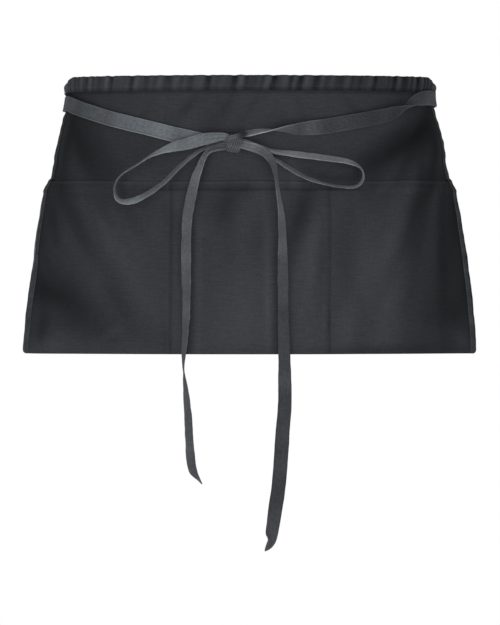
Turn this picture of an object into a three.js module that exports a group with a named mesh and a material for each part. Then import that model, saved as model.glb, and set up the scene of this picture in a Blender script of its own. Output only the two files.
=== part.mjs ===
// A waist apron with three front pockets, as it hangs when worn and tied in front.
// One panel of twill is bound along the top by a folded band, whose two ends run on as
// ties: each tie goes round the back of the waist, comes forward on the other side and
// meets its twin in a bow. The pocket cloth is stitched to the panel along two seams.
//
// Millimetres. +X is to the right seen from the front, -Y is the front, +Z is up. The
// origin is the centre of the waist opening, half way up the waistband at its middle.

import * as THREE from "three";

// Cloth and hems
const cloth = 1.2; // wall of the twill
const clearance = 0.35; // gap between pieces that touch
const panelWidth = 559; // side edge to side edge, along the cloth
const panelLength = 294; // top of the waistband to the bottom fold
const sideHem = 9.5; // width of each turned side edge
const pocketDepth = 182; // mouth of the pockets to the bottom fold
const mouthHem = 9.8; // width of the turned edge along the mouth
const mouthHemThickness = 0.9; // what the turned edge adds to the pocket's wall
const seamOffset = 84; // centre line to each seam between pockets, along the cloth
const pocketGape = 11; // how far the mouth of a pocket stands off the panel

// Waistband and ties
const bandHeight = 16;
const tieWidth = 16;
const tieThickness = 1.6;

// How the panel curves round the body
const degree = Math.PI / 180;
const edgeTurnTop = 88 * degree; // turn of the cloth at the side edges, at the waistband
const edgeTurnBottom = 51.5 * degree; // and at the bottom fold
const hemTurn = 7 * degree; // further turn of the stiff side hem
const curlShareTop = 0.8; // how much harder the cloth curves at the sides than in front
const curlShareBottom = -0.2;
const flareFrom = 0.1; // share of the fall where the waist's curve starts to open out
const flareEase = 1.5; // how early most of that opening happens
const frontLean = 7; // how far the bottom fold stands in front of the waistband
const sideRise = 5; // how much higher the waistband's ends are than its middle
const backDepth = 122; // waist centre to the ties at the middle of the back
const jog = 5; // step out of the side edges where the pocket cloth begins
const jogFrom = 0.72; // share of half the width beyond which the step comes in
const cornerRadius = 7; // of the two bottom corners

// Bow
const knotAcross = -17; // knot's centre, from the centre line
const knotDrop = 63; // and below the waistband's middle
const knotOut = 10.5; // and in front of the panel
const knotLength = 15;
const knotHeight = 18;
const knotThickness = 14;
const loopReachLeft = 126; // knot to the tip of each loop
const loopReachRight = 137;
const tailLeft = 353; // knot to the end of each tail
const tailRight = 427;
const loopStand = 21; // how far the loops' middle lines stand in front of the panel
const tieUpLeft = -4; // above the knot's centre, where each tie runs in
const tieUpRight = 8;

// Fineness of the faces
const acrossStep = 13;
const dropStep = 21;
const ribbonStep = 11;

const bend = cloth * 0.6; // bevel where a strip is folded over an edge
const halfWidth = panelWidth / 2;
const topDrop = -bandHeight / 2;
const bottomDrop = topDrop + panelLength;
const mouthDrop = bottomDrop - pocketDepth;

const mix = (a, b, share) => a + (b - a) * share;
const clamp01 = (value) => Math.min(1, Math.max(0, value));
const smooth = (value) => {
  const share = clamp01(value);
  return share * share * (3 - 2 * share);
};

// Main folds and dents of the panel, as low ridges (height above 0) and valleys.
// across is a share of half the width, drop and long of the panel's length; lean is the
// ridge's direction from upright in degrees, wide its half width as a share of the
// length, and height a share of the pocket's gape.
const folds = [
  { across: 0.78, drop: 0.2, lean: 55, long: 0.2, wide: 0.07, height: -0.45 },
  { across: 0.66, drop: 0.31, lean: 50, long: 0.24, wide: 0.07, height: -0.35 },
  { across: 0.78, drop: 0.36, lean: 38, long: 0.26, wide: 0.08, height: 0.43 },
  { across: 0.6, drop: 0.78, lean: 6, long: 0.34, wide: 0.09, height: 0.39 },
  { across: 0.85, drop: 0.74, lean: 4, long: 0.3, wide: 0.08, height: -0.39 },
  { across: 0.24, drop: 0.7, lean: 5, long: 0.3, wide: 0.05, height: 0.26 },
  { across: 0.4, drop: 0.76, lean: -8, long: 0.22, wide: 0.05, height: -0.17 },
  { across: -0.1, drop: 0.55, lean: -12, long: 0.16, wide: 0.06, height: -0.19 },
  { across: -0.15, drop: 0.16, lean: 35, long: 0.09, wide: 0.05, height: -0.13 },
  { across: -0.72, drop: 0.24, lean: -48, long: 0.24, wide: 0.08, height: -0.43 },
  { across: -0.78, drop: 0.8, lean: -58, long: 0.2, wide: 0.07, height: -0.52 },
  { across: -0.62, drop: 0.62, lean: -40, long: 0.26, wide: 0.08, height: 0.3 },
  { across: -0.36, drop: 0.45, lean: -35, long: 0.16, wide: 0.055, height: -0.17 },
  { across: -0.86, drop: 0.95, lean: 70, long: 0.14, wide: 0.055, height: 0.26 },
];

// Height of all folds at a place on the cloth
function foldHeight(across, drop) {
  let height = 0;
  for (const fold of folds) {
    const right = across - fold.across * halfWidth;
    const down = drop - topDrop - fold.drop * panelLength;
    const cosine = Math.cos(fold.lean * degree);
    const sine = Math.sin(fold.lean * degree);
    const along = (down * cosine - right * sine) / (fold.long * panelLength);
    const beside = (right * cosine + down * sine) / (fold.wide * panelLength);
    height += fold.height * pocketGape * Math.exp(-along * along - beside * beside);
  }
  return height;
}

// The band is sewn on a little tight, so the cloth under it puckers.
const puckerLength = 44;
const puckerHeight = 0.6;
const puckerReach = 26; // how far below the band the puckers die out
const wanderLength = 230; // over which their spacing drifts
const wander = 1.9; // by how much, in radians of the wave
const puckerEnd = 0.78; // share of half the width where they start to fade
const puckerFade = 0.16;

function pucker(across, drop) {
  const drift = wander * Math.sin((2 * Math.PI * across) / wanderLength);
  const wave = Math.sin((2 * Math.PI * across) / puckerLength + drift);
  const inward = 1 - smooth((Math.abs(across) / halfWidth - puckerEnd) / puckerFade);
  return puckerHeight * wave * inward * (1 - smooth((drop - bandHeight / 2) / puckerReach));
}

// Share of the way from the waistband's curve to the bottom fold's flatter curve
function flare(drop) {
  const fall = clamp01((drop - topDrop) / panelLength);
  return 1 - (1 - clamp01((fall - flareFrom) / (1 - flareFrom))) ** flareEase;
}

// Turn of the cloth away from facing straight forward, in radians
function turn(share, drop) {
  const curl = mix(curlShareTop, curlShareBottom, flare(drop));
  const most = mix(edgeTurnTop, edgeTurnBottom, flare(drop));
  const hemShare = (share - 1 + sideHem / halfWidth) / (sideHem / halfWidth);
  const rolled = most * ((share + (curl * share ** 3) / 3) / (1 + curl / 3));
  return rolled + hemTurn * smooth(hemShare);
}

// Place on the plan curve at one height: x, and y behind the curve's front
function planPlace(across, drop) {
  const steps = 24;
  const reach = Math.abs(across);
  const step = reach / steps;
  let x = 0;
  let y = 0;
  for (let i = 0; i < steps; i++) {
    const angle = turn(((i + 0.5) * step) / halfWidth, drop);
    x += Math.cos(angle) * step;
    y += Math.sin(angle) * step;
  }
  return { x: Math.sign(across) * x, y, angle: turn(reach / halfWidth, drop) };
}

const waistFront = planPlace(halfWidth, topDrop).y;

// How far the round bottom corners lift the edge
function cornerRise(across, drop) {
  const beyond = Math.min(0.98, clamp01((Math.abs(across) - halfWidth) / cornerRadius + 1));
  const near = smooth((drop - bottomDrop) / (2 * cornerRadius) + 1);
  return cornerRadius * (1 - Math.sqrt(1 - beyond ** 2)) * near;
}

// Middle of the panel's cloth, with its folds or as it would be without them
function surface(across, flatDrop, folded = true) {
  const drop = flatDrop - cornerRise(across, flatDrop);
  const place = planPlace(across, drop);
  const side = Math.sign(across) || 1;
  const share = Math.abs(across) / halfWidth;
  const fall = clamp01((drop - topDrop) / panelLength);
  const belowMouth = (drop - mouthDrop) / mouthHem;
  const rise = jog * smooth(belowMouth - 0.2);
  const hollow = (jog / 2) * smooth(belowMouth + 3);
  const edge = smooth((share - jogFrom) / (1 - jogFrom));
  const relief = folded ? foldHeight(across, drop) + pucker(across, drop) : 0;
  const lift = relief + (rise - hollow) * (1 - fall) * edge;
  return new THREE.Vector3(
    place.x + side * Math.sin(place.angle) * lift,
    place.y - waistFront - frontLean * fall - Math.cos(place.angle) * lift,
    sideRise * share ** 2 * (1 - fall) - drop,
  );
}

// Outward direction of the cloth
function outward(across, drop, folded = true) {
  const small = 0.5;
  const at = (right, down) => surface(across + right, drop + down, folded);
  const alongCloth = at(small, 0).sub(at(-small, 0));
  const downCloth = at(0, small).sub(at(0, -small));
  return downCloth.cross(alongCloth).normalize();
}

// A point at some distance in front of the panel's middle surface
function layer(across, drop, offset) {
  return surface(across, drop).addScaledVector(outward(across, drop), offset);
}

// Values from the first break to the last, with every break among them
function stations(breaks, step) {
  const values = [breaks[0]];
  for (let i = 1; i < breaks.length; i++) {
    const parts = Math.max(1, Math.round((breaks[i] - breaks[i - 1]) / step));
    for (let k = 1; k <= parts; k++) values.push(mix(breaks[i - 1], breaks[i], k / parts));
  }
  return values;
}

// A closed mesh from a list of points and a list of triangles
function solid(points, triangles) {
  const geometry = new THREE.BufferGeometry();
  const flat = points.flatMap((point) => [point.x, point.y, point.z]);
  geometry.setAttribute("position", new THREE.Float32BufferAttribute(flat, 3));
  geometry.setIndex(triangles);
  geometry.computeVertexNormals();
  return geometry;
}

// A wall of cloth between two grids of points, closed round its four edges.
// Seen from the front face, rows run down and columns run to the right. A strip that is
// folded behind another wall is split along the other diagonal there, so that they nest.
function wall(front, back, behind = () => false) {
  const rows = front.length;
  const columns = front[0].length;
  const points = [...front.flat(), ...back.flat()];
  const size = rows * columns;
  const at = (row, column) => row * columns + column;
  const triangles = [];
  const quad = (a, b, c, d) => triangles.push(a, b, c, a, c, d);
  for (let r = 0; r + 1 < rows; r++)
    for (let c = 0; c + 1 < columns; c++) {
      const [a, b, d, e] = [at(r, c), at(r + 1, c), at(r + 1, c + 1), at(r, c + 1)];
      const [p, q, t, u] = behind(r, c) ? [b, d, e, a] : [a, b, d, e];
      quad(p, q, t, u);
      quad(p + size, u + size, t + size, q + size);
    }
  for (let c = 0; c + 1 < columns; c++) {
    quad(at(0, c), at(0, c + 1), at(0, c + 1) + size, at(0, c) + size);
    const last = rows - 1;
    quad(at(last, c + 1), at(last, c), at(last, c) + size, at(last, c + 1) + size);
  }
  for (let r = 0; r + 1 < rows; r++) {
    quad(at(r + 1, 0), at(r, 0), at(r, 0) + size, at(r + 1, 0) + size);
    const last = columns - 1;
    quad(at(r, last), at(r + 1, last), at(r + 1, last) + size, at(r, last) + size);
  }
  return solid(points, triangles);
}

// Columns of the cloth, shared by all the layers so that they nest
const clothEdge = halfWidth - cloth - clearance;
const hemEdge = halfWidth - sideHem;
const columns = stations(
  [-clothEdge, -hemEdge, -seamOffset, 0, seamOffset, hemEdge, clothEdge],
  acrossStep,
);
// Rows of the cloth, shared in the same way
const mouthFoot = mouthDrop + mouthHem;
const dropRows = stations(
  [
    topDrop + cloth + clearance,
    bandHeight / 2,
    bandHeight / 2 + clearance,
    mouthDrop - 2 * cloth,
    mouthDrop - clearance,
    mouthDrop,
    mouthFoot,
    mouthFoot + cloth,
    bottomDrop - cloth - clearance,
    bottomDrop - cloth,
    bottomDrop,
  ],
  dropStep,
);
const near = 0.01;
const rowsBetween = (first, last) => dropRows.filter((drop) => drop > first - near && drop < last + near);
const firstFace = cloth / 2; // front of the panel
const pocketBack = firstFace + clearance;
const pocketFront = pocketBack + cloth;

// Panel: from inside the band down to just above the fold that the pocket cloth makes
function makePanel() {
  const rows = rowsBetween(topDrop + cloth + clearance, bottomDrop - cloth - clearance);
  const grid = (offset) => rows.map((drop) => columns.map((across) => layer(across, drop, offset)));
  return wall(grid(firstFace), grid(-firstFace));
}

// What the turned edge along the mouth adds to the pocket's wall
const hemAdds = (drop) => (drop < mouthFoot + cloth / 2 ? mouthHemThickness : 0);

// How far the pocket cloth stands off the panel: open at the mouth, closed at the seams
const gapeRound = 1.6; // how flat the gape is beside the seams
const gapeFall = 1.8; // how slowly it closes towards the bottom

function gape(across, drop) {
  const inCentre = Math.abs(across) < seamOffset;
  const middle = inCentre ? 0 : (Math.sign(across) * (seamOffset + hemEdge)) / 2;
  const half = inCentre ? seamOffset : (hemEdge - seamOffset) / 2;
  const beside = Math.min(1, Math.abs(across - middle) / half);
  const down = clamp01((drop - mouthDrop) / pocketDepth);
  return pocketGape * Math.cos((beside * Math.PI) / 2) ** gapeRound * (1 - down ** gapeFall);
}

// Pocket cloth: turned edge at the mouth, open wall, and the fold under the panel
function makePocket() {
  const rows = rowsBetween(mouthDrop, bottomDrop - cloth);
  const open = (drop, offset) => columns.map((across) => layer(across, drop, offset + gape(across, drop)));
  const fronts = rows.map((drop) => open(drop, pocketFront + hemAdds(drop)));
  const backs = rows.map((drop) => open(drop, pocketBack));
  const under = (drop, offset) => columns.map((across) => layer(across, drop, offset));
  fronts.push(under(bottomDrop, pocketFront - cloth * 0.7), under(bottomDrop, -firstFace));
  backs.push(under(bottomDrop - cloth, pocketBack - cloth * 0.2), under(bottomDrop - cloth, -firstFace));
  return wall(fronts, backs);
}

// Waistband: one strip folded over the panel's top edge, an upside-down U in section
function makeWaistband() {
  const inner = firstFace + clearance * 1.5;
  const outer = inner + cloth;
  const top = topDrop;
  const lining = top + cloth;
  const foot = bandHeight / 2;
  const profile = [
    { face: [-outer, foot], back: [-inner, foot] },
    { face: [-outer, top + bend], back: [-inner, lining + clearance / 3] },
    { face: [-outer + bend, top], back: [-inner + bend, lining] },
    { face: [outer - bend, top], back: [inner - bend, lining] },
    { face: [outer, top + bend], back: [inner, lining + clearance / 3] },
    { face: [outer, foot], back: [inner, foot] },
  ];
  const across = [-halfWidth, ...columns, halfWidth];
  const line = ([offset, drop]) => across.map((place) => layer(place, drop, offset));
  const grid = (side) => profile.map((point) => line(point[side]));
  return wall(grid("face"), grid("back"), (row) => row < 2);
}

// Side hem: a strip folded round the side edge of the panel and the pocket cloth
function makeSideHem(side) {
  const inner = firstFace + clearance;
  const rows = rowsBetween(bandHeight / 2 + clearance, bottomDrop);
  const overPocket = (drop) => pocketFront + clearance + hemAdds(drop);
  const frontLining = (drop) => (drop < mouthDrop - cloth ? inner : overPocket(drop));
  const section = (drop, isFace) => {
    const near = frontLining(drop) + (isFace ? cloth : 0);
    const far = -inner - (isFace ? cloth : 0);
    const rim = isFace ? halfWidth : halfWidth - cloth;
    const turnAt = isFace ? bend : clearance / 3;
    const path = [
      [hemEdge, near],
      [rim - turnAt, near],
      [rim, near - turnAt],
      [rim, far + turnAt],
      [rim - turnAt, far],
      [hemEdge, far],
    ];
    return path.map(([across, offset]) => layer(side * across, drop, offset));
  };
  const order = (points) => (side > 0 ? points : points.reverse());
  return wall(
    rows.map((drop) => order(section(drop, true))),
    rows.map((drop) => order(section(drop, false))),
    (row, column) => (side > 0 ? column > 2 : column < 2),
  );
}

// Uniform Catmull-Rom value of one column of a table at a place counted in rows
function column(table, name, place) {
  const last = table.length - 1;
  const index = Math.min(last - 1, Math.max(0, Math.floor(place)));
  const share = place - index;
  const value = (i) => table[Math.min(last, Math.max(0, i))][name];
  const [a, b, c, d] = [index - 1, index, index + 1, index + 2].map(value);
  return (
    b +
    0.5 * share * (c - a + share * (2 * a - 5 * b + 4 * c - d + share * (3 * (b - c) + d - a)))
  );
}

// A tape along a list of places. Each place has a point, the way its face looks when the
// roll is 0, a roll in degrees and a width.
function tape(places) {
  const faces = [[], []];
  const backs = [[], []];
  places.forEach((place, i) => {
    const before = places[Math.max(0, i - 1)].point;
    const after = places[Math.min(places.length - 1, i + 1)].point;
    const along = after.clone().sub(before).normalize();
    const looks = place.looks.clone().addScaledVector(along, -place.looks.dot(along)).normalize();
    const beside = along.clone().cross(looks);
    const face = looks.clone().multiplyScalar(Math.cos(place.roll * degree));
    face.addScaledVector(beside, Math.sin(place.roll * degree));
    const edge = face.clone().cross(along);
    for (const [row, side] of [[0, 1], [1, -1]]) {
      const rim = place.point.clone().addScaledVector(edge, (side * place.width) / 2);
      faces[row].push(rim.clone().addScaledVector(face, tieThickness / 2));
      backs[row].push(rim.clone().addScaledVector(face, -tieThickness / 2));
    }
  });
  return wall(faces, backs);
}

// Places along a table of rows, about one ribbon step apart
function alongTable(table, toPlace) {
  const fine = 400;
  const at = (i) => toPlace((i / fine) * (table.length - 1));
  const places = [at(0)];
  let walked = 0;
  let before = places[0].point;
  let length = 0;
  const all = [];
  for (let i = 1; i <= fine; i++) {
    const place = at(i);
    length += place.point.distanceTo(before);
    before = place.point;
    all.push({ place, length });
  }
  const count = Math.max(2, Math.round(length / ribbonStep));
  for (const { place, length: here } of all)
    if (here >= ((walked + 1) * length) / count - 1e-6 && walked + 1 <= count) {
      places.push(place);
      walked += 1;
    }
  return places;
}

const forward = new THREE.Vector3(0, -1, 0);

// The panel's middle surface straight behind a point: its y at some x and z
function panelBehind(x, z) {
  let low = -halfWidth;
  let high = halfWidth;
  const drop = Math.min(-z, bottomDrop);
  for (let i = 0; i < 26; i++) {
    const middle = (low + high) / 2;
    if (surface(middle, drop).x < x) low = middle;
    else high = middle;
  }
  return surface((low + high) / 2, drop).y;
}

const knotCentre = new THREE.Vector3(
  knotAcross,
  panelBehind(knotAcross, -knotDrop) - knotOut,
  -knotDrop,
);

// A loop or a tail of the bow. right and up are shares of its reach from the knot's
// centre; out is the stand in front of the panel as a share of the loops' stand; roll is
// the tape's turn about its own line, with 0 facing the front; wide is a share of the
// tie's width, because the knot gathers the tape.
function bowStrand(table, reach) {
  const places = alongTable(table, (place) => {
    const x = knotCentre.x + column(table, "right", place) * reach;
    const z = knotCentre.z + column(table, "up", place) * reach;
    const out = column(table, "out", place) * loopStand;
    return {
      point: new THREE.Vector3(x, panelBehind(x, z) - out, z),
      looks: forward,
      roll: column(table, "roll", place),
      width: column(table, "wide", place) * tieWidth,
    };
  });
  return tape(places);
}

const loopLeftRows = [
  { right: -0.067, up: 0.044, out: 0.6, roll: 22, wide: 0.5 },
  { right: -0.15, up: 0.036, out: 0.63, roll: 30, wide: 0.75 },
  { right: -0.26, up: 0.021, out: 0.7, roll: 33, wide: 1 },
  { right: -0.385, up: -0.013, out: 0.78, roll: 38, wide: 1 },
  { right: -0.527, up: -0.046, out: 0.95, roll: 54, wide: 1 },
  { right: -0.67, up: -0.1, out: 1.09, roll: 78, wide: 1 },
  { right: -0.82, up: -0.192, out: 1.14, roll: 86, wide: 1 },
  { right: -0.937, up: -0.263, out: 1.17, roll: 88, wide: 1 },
  { right: -0.991, up: -0.335, out: 1.19, roll: 90, wide: 1 },
  { right: -0.996, up: -0.41, out: 1.21, roll: 94, wide: 1 },
  { right: -0.962, up: -0.473, out: 1.22, roll: 104, wide: 1 },
  { right: -0.887, up: -0.489, out: 1.22, roll: 115, wide: 1 },
  { right: -0.811, up: -0.475, out: 1.22, roll: 117, wide: 1 },
  { right: -0.736, up: -0.439, out: 1.21, roll: 110, wide: 1 },
  { right: -0.594, up: -0.343, out: 1.11, roll: 107, wide: 1 },
  { right: -0.452, up: -0.205, out: 1.07, roll: 107, wide: 0.95 },
  { right: -0.301, up: -0.084, out: 0.94, roll: 106, wide: 0.75 },
  { right: -0.184, up: -0.033, out: 0.84, roll: 108, wide: 0.6 },
  { right: -0.067, up: -0.008, out: 0.74, roll: 112, wide: 0.45 },
];

const loopRightRows = [
  { right: 0.062, up: 0.004, out: 0.38, roll: -40, wide: 0.4 },
  { right: 0.138, up: -0.019, out: 0.36, roll: -55, wide: 0.45 },
  { right: 0.215, up: -0.046, out: 0.35, roll: -65, wide: 0.5 },
  { right: 0.292, up: -0.069, out: 0.41, roll: -68, wide: 0.6 },
  { right: 0.385, up: -0.083, out: 0.52, roll: -68, wide: 0.85 },
  { right: 0.492, up: -0.096, out: 0.63, roll: -67, wide: 1 },
  { right: 0.646, up: -0.115, out: 0.79, roll: -66, wide: 1 },
  { right: 0.8, up: -0.135, out: 0.9, roll: -67, wide: 1 },
  { right: 0.908, up: -0.156, out: 0.93, roll: -74, wide: 1 },
  { right: 0.969, up: -0.188, out: 0.95, roll: -84, wide: 1 },
  { right: 0.997, up: -0.238, out: 0.95, roll: -90, wide: 1 },
  { right: 0.985, up: -0.296, out: 0.95, roll: -95, wide: 1 },
  { right: 0.939, up: -0.335, out: 0.95, roll: -97, wide: 1 },
  { right: 0.862, up: -0.342, out: 0.93, roll: -98, wide: 1 },
  { right: 0.754, up: -0.331, out: 0.88, roll: -98, wide: 1 },
  { right: 0.646, up: -0.304, out: 0.82, roll: -100, wide: 1 },
  { right: 0.538, up: -0.264, out: 0.75, roll: -104, wide: 0.95 },
  { right: 0.431, up: -0.204, out: 0.5, roll: -110, wide: 0.8 },
  { right: 0.346, up: -0.15, out: 0.35, roll: -112, wide: 0.6 },
  { right: 0.262, up: -0.108, out: 0.35, roll: -115, wide: 0.5 },
  { right: 0.162, up: -0.065, out: 0.31, roll: -125, wide: 0.4 },
  { right: 0.062, up: -0.034, out: 0.31, roll: -135, wide: 0.35 },
];

const tailLeftRows = [
  { right: -0.024, up: -0.017, out: 0.5, roll: 40, wide: 0.45 },
  { right: -0.051, up: -0.0195, out: 0.5, roll: 46, wide: 0.5 },
  { right: -0.075, up: -0.028, out: 0.52, roll: 54, wide: 0.55 },
  { right: -0.091, up: -0.048, out: 0.54, roll: 57, wide: 0.7 },
  { right: -0.104, up: -0.081, out: 0.57, roll: 55, wide: 0.9 },
  { right: -0.116, up: -0.116, out: 0.6, roll: 52, wide: 1 },
  { right: -0.128, up: -0.17, out: 0.64, roll: 48, wide: 1 },
  { right: -0.138, up: -0.23, out: 0.66, roll: 50, wide: 1 },
  { right: -0.141, up: -0.305, out: 0.68, roll: 50, wide: 1 },
  { right: -0.141, up: -0.379, out: 0.68, roll: 51, wide: 1 },
  { right: -0.14, up: -0.469, out: 0.68, roll: 58, wide: 1 },
  { right: -0.143, up: -0.558, out: 0.66, roll: 66, wide: 1 },
  { right: -0.148, up: -0.624, out: 0.63, roll: 73, wide: 1 },
  { right: -0.15, up: -0.666, out: 0.6, roll: 84, wide: 1 },
  { right: -0.146, up: -0.708, out: 0.58, roll: 100, wide: 1 },
  { right: -0.14, up: -0.767, out: 0.56, roll: 112, wide: 1 },
  { right: -0.135, up: -0.827, out: 0.54, roll: 118, wide: 1 },
  { right: -0.132, up: -0.887, out: 0.52, roll: 122, wide: 1 },
  { right: -0.127, up: -0.947, out: 0.52, roll: 123, wide: 1 },
  { right: -0.12, up: -0.982, out: 0.6, roll: 118, wide: 1 },
  { right: -0.102, up: -1.008, out: 0.85, roll: 92, wide: 1 },
];

const tailRightRows = [
  { right: 0.0195, up: -0.007, out: 0.62, roll: -30, wide: 0.6 },
  { right: 0.039, up: -0.011, out: 0.7, roll: -36, wide: 0.7 },
  { right: 0.059, up: -0.017, out: 0.8, roll: -44, wide: 0.8 },
  { right: 0.079, up: -0.03, out: 0.9, roll: -53, wide: 0.9 },
  { right: 0.094, up: -0.049, out: 1.02, roll: -62, wide: 0.95 },
  { right: 0.102, up: -0.077, out: 1.05, roll: -74, wide: 1 },
  { right: 0.106, up: -0.111, out: 1.03, roll: -78, wide: 1 },
  { right: 0.112, up: -0.148, out: 0.98, roll: -73, wide: 1 },
  { right: 0.117, up: -0.19, out: 0.9, roll: -65, wide: 1 },
  { right: 0.119, up: -0.239, out: 0.87, roll: -57, wide: 1 },
  { right: 0.12, up: -0.301, out: 0.82, roll: -49, wide: 1 },
  { right: 0.121, up: -0.375, out: 0.77, roll: -47, wide: 1 },
  { right: 0.122, up: -0.449, out: 0.71, roll: -46, wide: 1 },
  { right: 0.124, up: -0.523, out: 0.65, roll: -38, wide: 1 },
  { right: 0.125, up: -0.585, out: 0.6, roll: -32, wide: 1 },
  { right: 0.125, up: -0.647, out: 0.56, roll: -27, wide: 1 },
  { right: 0.12, up: -0.708, out: 0.53, roll: -23, wide: 1 },
  { right: 0.116, up: -0.77, out: 0.5, roll: -22, wide: 1 },
  { right: 0.11, up: -0.844, out: 0.47, roll: -22, wide: 1 },
  { right: 0.101, up: -0.906, out: 0.46, roll: -25, wide: 1 },
  { right: 0.094, up: -0.955, out: 0.48, roll: -32, wide: 1 },
  { right: 0.089, up: -0.98, out: 0.65, roll: -48, wide: 1 },
  { right: 0.081, up: -0.989, out: 0.98, roll: -62, wide: 1 },
];

// Front stretch of each tie. run goes from 0 at the side edge to 1 at the knot; sag is a
// share of the drop between them, added to the straight line; out is a share of the
// knot's stand in front of the panel.
const restOut = firstFace + cloth + 5 * clearance + tieThickness / 2;
const tieLeftRows = [
  { run: 0.03, sag: -0.03, out: 0.47, roll: -5, wide: 1 },
  { run: 0.11, sag: -0.12, out: 0.43, roll: -8, wide: 1 },
  { run: 0.18, sag: -0.12, out: 0.42, roll: -6, wide: 1 },
  { run: 0.27, sag: -0.12, out: 0.42, roll: -4, wide: 1 },
  { run: 0.35, sag: -0.115, out: 0.4, roll: -8, wide: 1 },
  { run: 0.475, sag: -0.09, out: 0.4, roll: -10, wide: 1 },
  { run: 0.58, sag: -0.075, out: 0.4, roll: -10, wide: 1 },
  { run: 0.68, sag: -0.06, out: 0.38, roll: -10, wide: 1 },
  { run: 0.78, sag: -0.035, out: 0.38, roll: -8, wide: 1 },
  { run: 0.855, sag: -0.035, out: 0.38, roll: -4, wide: 0.95 },
  { run: 0.925, sag: -0.06, out: 0.46, roll: 0, wide: 0.75 },
  { run: 1.003, sag: -0.095, out: 0.7, roll: 0, wide: 0.5 },
];
const tieRightRows = [
  { run: 0.03, sag: -0.049, out: 0.48, roll: 6, wide: 1 },
  { run: 0.115, sag: -0.135, out: 0.44, roll: 6, wide: 1 },
  { run: 0.175, sag: -0.178, out: 0.5, roll: 8, wide: 1 },
  { run: 0.22, sag: -0.196, out: 0.6, roll: 25, wide: 1 },
  { run: 0.265, sag: -0.184, out: 0.8, roll: 42, wide: 1 },
  { run: 0.295, sag: -0.148, out: 0.85, roll: 60, wide: 1 },
  { run: 0.325, sag: -0.072, out: 0.9, roll: 88, wide: 0.9 },
  { run: 0.345, sag: -0.036, out: 0.85, roll: 112, wide: 0.95 },
  { run: 0.37, sag: 0.005, out: 0.75, roll: 130, wide: 1 },
  { run: 0.4, sag: 0.031, out: 0.6, roll: 145, wide: 1 },
  { run: 0.445, sag: 0.053, out: 0.5, roll: 160, wide: 1 },
  { run: 0.505, sag: 0.07, out: 0.42, roll: 170, wide: 1 },
  { run: 0.575, sag: 0.08, out: 0.4, roll: 175, wide: 1 },
  { run: 0.64, sag: 0.09, out: 0.4, roll: 175, wide: 1 },
  { run: 0.695, sag: 0.1, out: 0.42, roll: 172, wide: 1 },
  { run: 0.75, sag: 0.085, out: 0.48, roll: 160, wide: 1 },
  { run: 0.795, sag: 0.065, out: 0.68, roll: 140, wide: 1 },
  { run: 0.83, sag: 0.04, out: 0.84, roll: 118, wide: 1 },
  { run: 0.87, sag: 0.015, out: 0.86, roll: 98, wide: 0.9 },
  { run: 0.905, sag: 0, out: 0.8, roll: 80, wide: 0.8 },
  { run: 0.94, sag: 0, out: 0.7, roll: 64, wide: 0.7 },
  { run: 1.002, sag: 0.015, out: 0.72, roll: 52, wide: 0.6 },
];

// A tie leaves the band's end at one side, runs round the back to the other, where it
// arrives a little lower, and then forward over the panel to the knot.
const arrivalLeft = 16.5; // below the waistband's middle, where each tie comes forward
const arrivalRight = 11.5;
const standOffLeft = 0.1; // share of the way round the back where each tie lifts off the waist
const standOffRight = 0.65;
const standOffOver = 0.25; // share of the way over which it does
const sinkFrom = 0.4; // share of the way round where a tie starts to sink
const sinkOver = 0.2;

// side is where the tie comes forward. It crosses its twin at the middle of the back;
// the outer one stands off before the crossing, the inner one after it.
function tieTape(side, table, arrivalDrop, standsOffAt, knotUp) {
  const start = surface(-side * (halfWidth + 2 * clearance), 0);
  const arrival = surface(side * halfWidth, arrivalDrop + sideRise, false);
  const half = backDepth - start.y;
  const count = Math.round((Math.PI * (Math.abs(start.x) + half)) / 2 / ribbonStep);
  const places = [];
  for (let i = 0; i < count; i++) {
    const share = i / count;
    const angle = Math.PI * share;
    const sink = smooth((share - sinkFrom) / sinkOver);
    const reach = mix(Math.abs(start.x), Math.abs(arrival.x), sink);
    const offset = restOut * smooth((share - standsOffAt) / standOffOver);
    const sideways = -side * Math.cos(angle);
    const backwards = Math.sin(angle);
    const looks = new THREE.Vector3(sideways * half, backwards * reach, 0).normalize();
    const point = new THREE.Vector3(
      sideways * reach,
      mix(start.y, arrival.y, share) + backwards * half,
      mix(start.z, -arrivalDrop, sink),
    );
    places.push({ point: point.addScaledVector(looks, offset), looks, roll: 0, width: tieWidth });
  }
  const knotEnd = knotAcross + side * (knotLength / 2 + 3 * clearance);
  const front = alongTable(table, (place) => {
    const run = column(table, "run", place);
    const sag = column(table, "sag", place);
    const across = mix(side * halfWidth, knotEnd, run);
    const low = knotDrop - knotUp;
    const level = mix(arrivalDrop, low, run) + sag * (low - arrivalDrop);
    const drop = level + sideRise * (across / halfWidth) ** 2;
    const under = [-1, 0, 1].map((i) => {
      const rim = drop + (i * tieWidth) / 2;
      return foldHeight(across, rim) + pucker(across, rim);
    });
    const stand = Math.max(restOut, column(table, "out", place) * knotOut);
    const lift = stand + Math.max(0, ...under);
    const looks = outward(across, drop, false);
    return {
      point: surface(across, drop, false).addScaledVector(looks, lift),
      looks,
      roll: column(table, "roll", place),
      width: column(table, "wide", place) * tieWidth,
    };
  });
  return tape([...places, ...front]);
}

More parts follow.
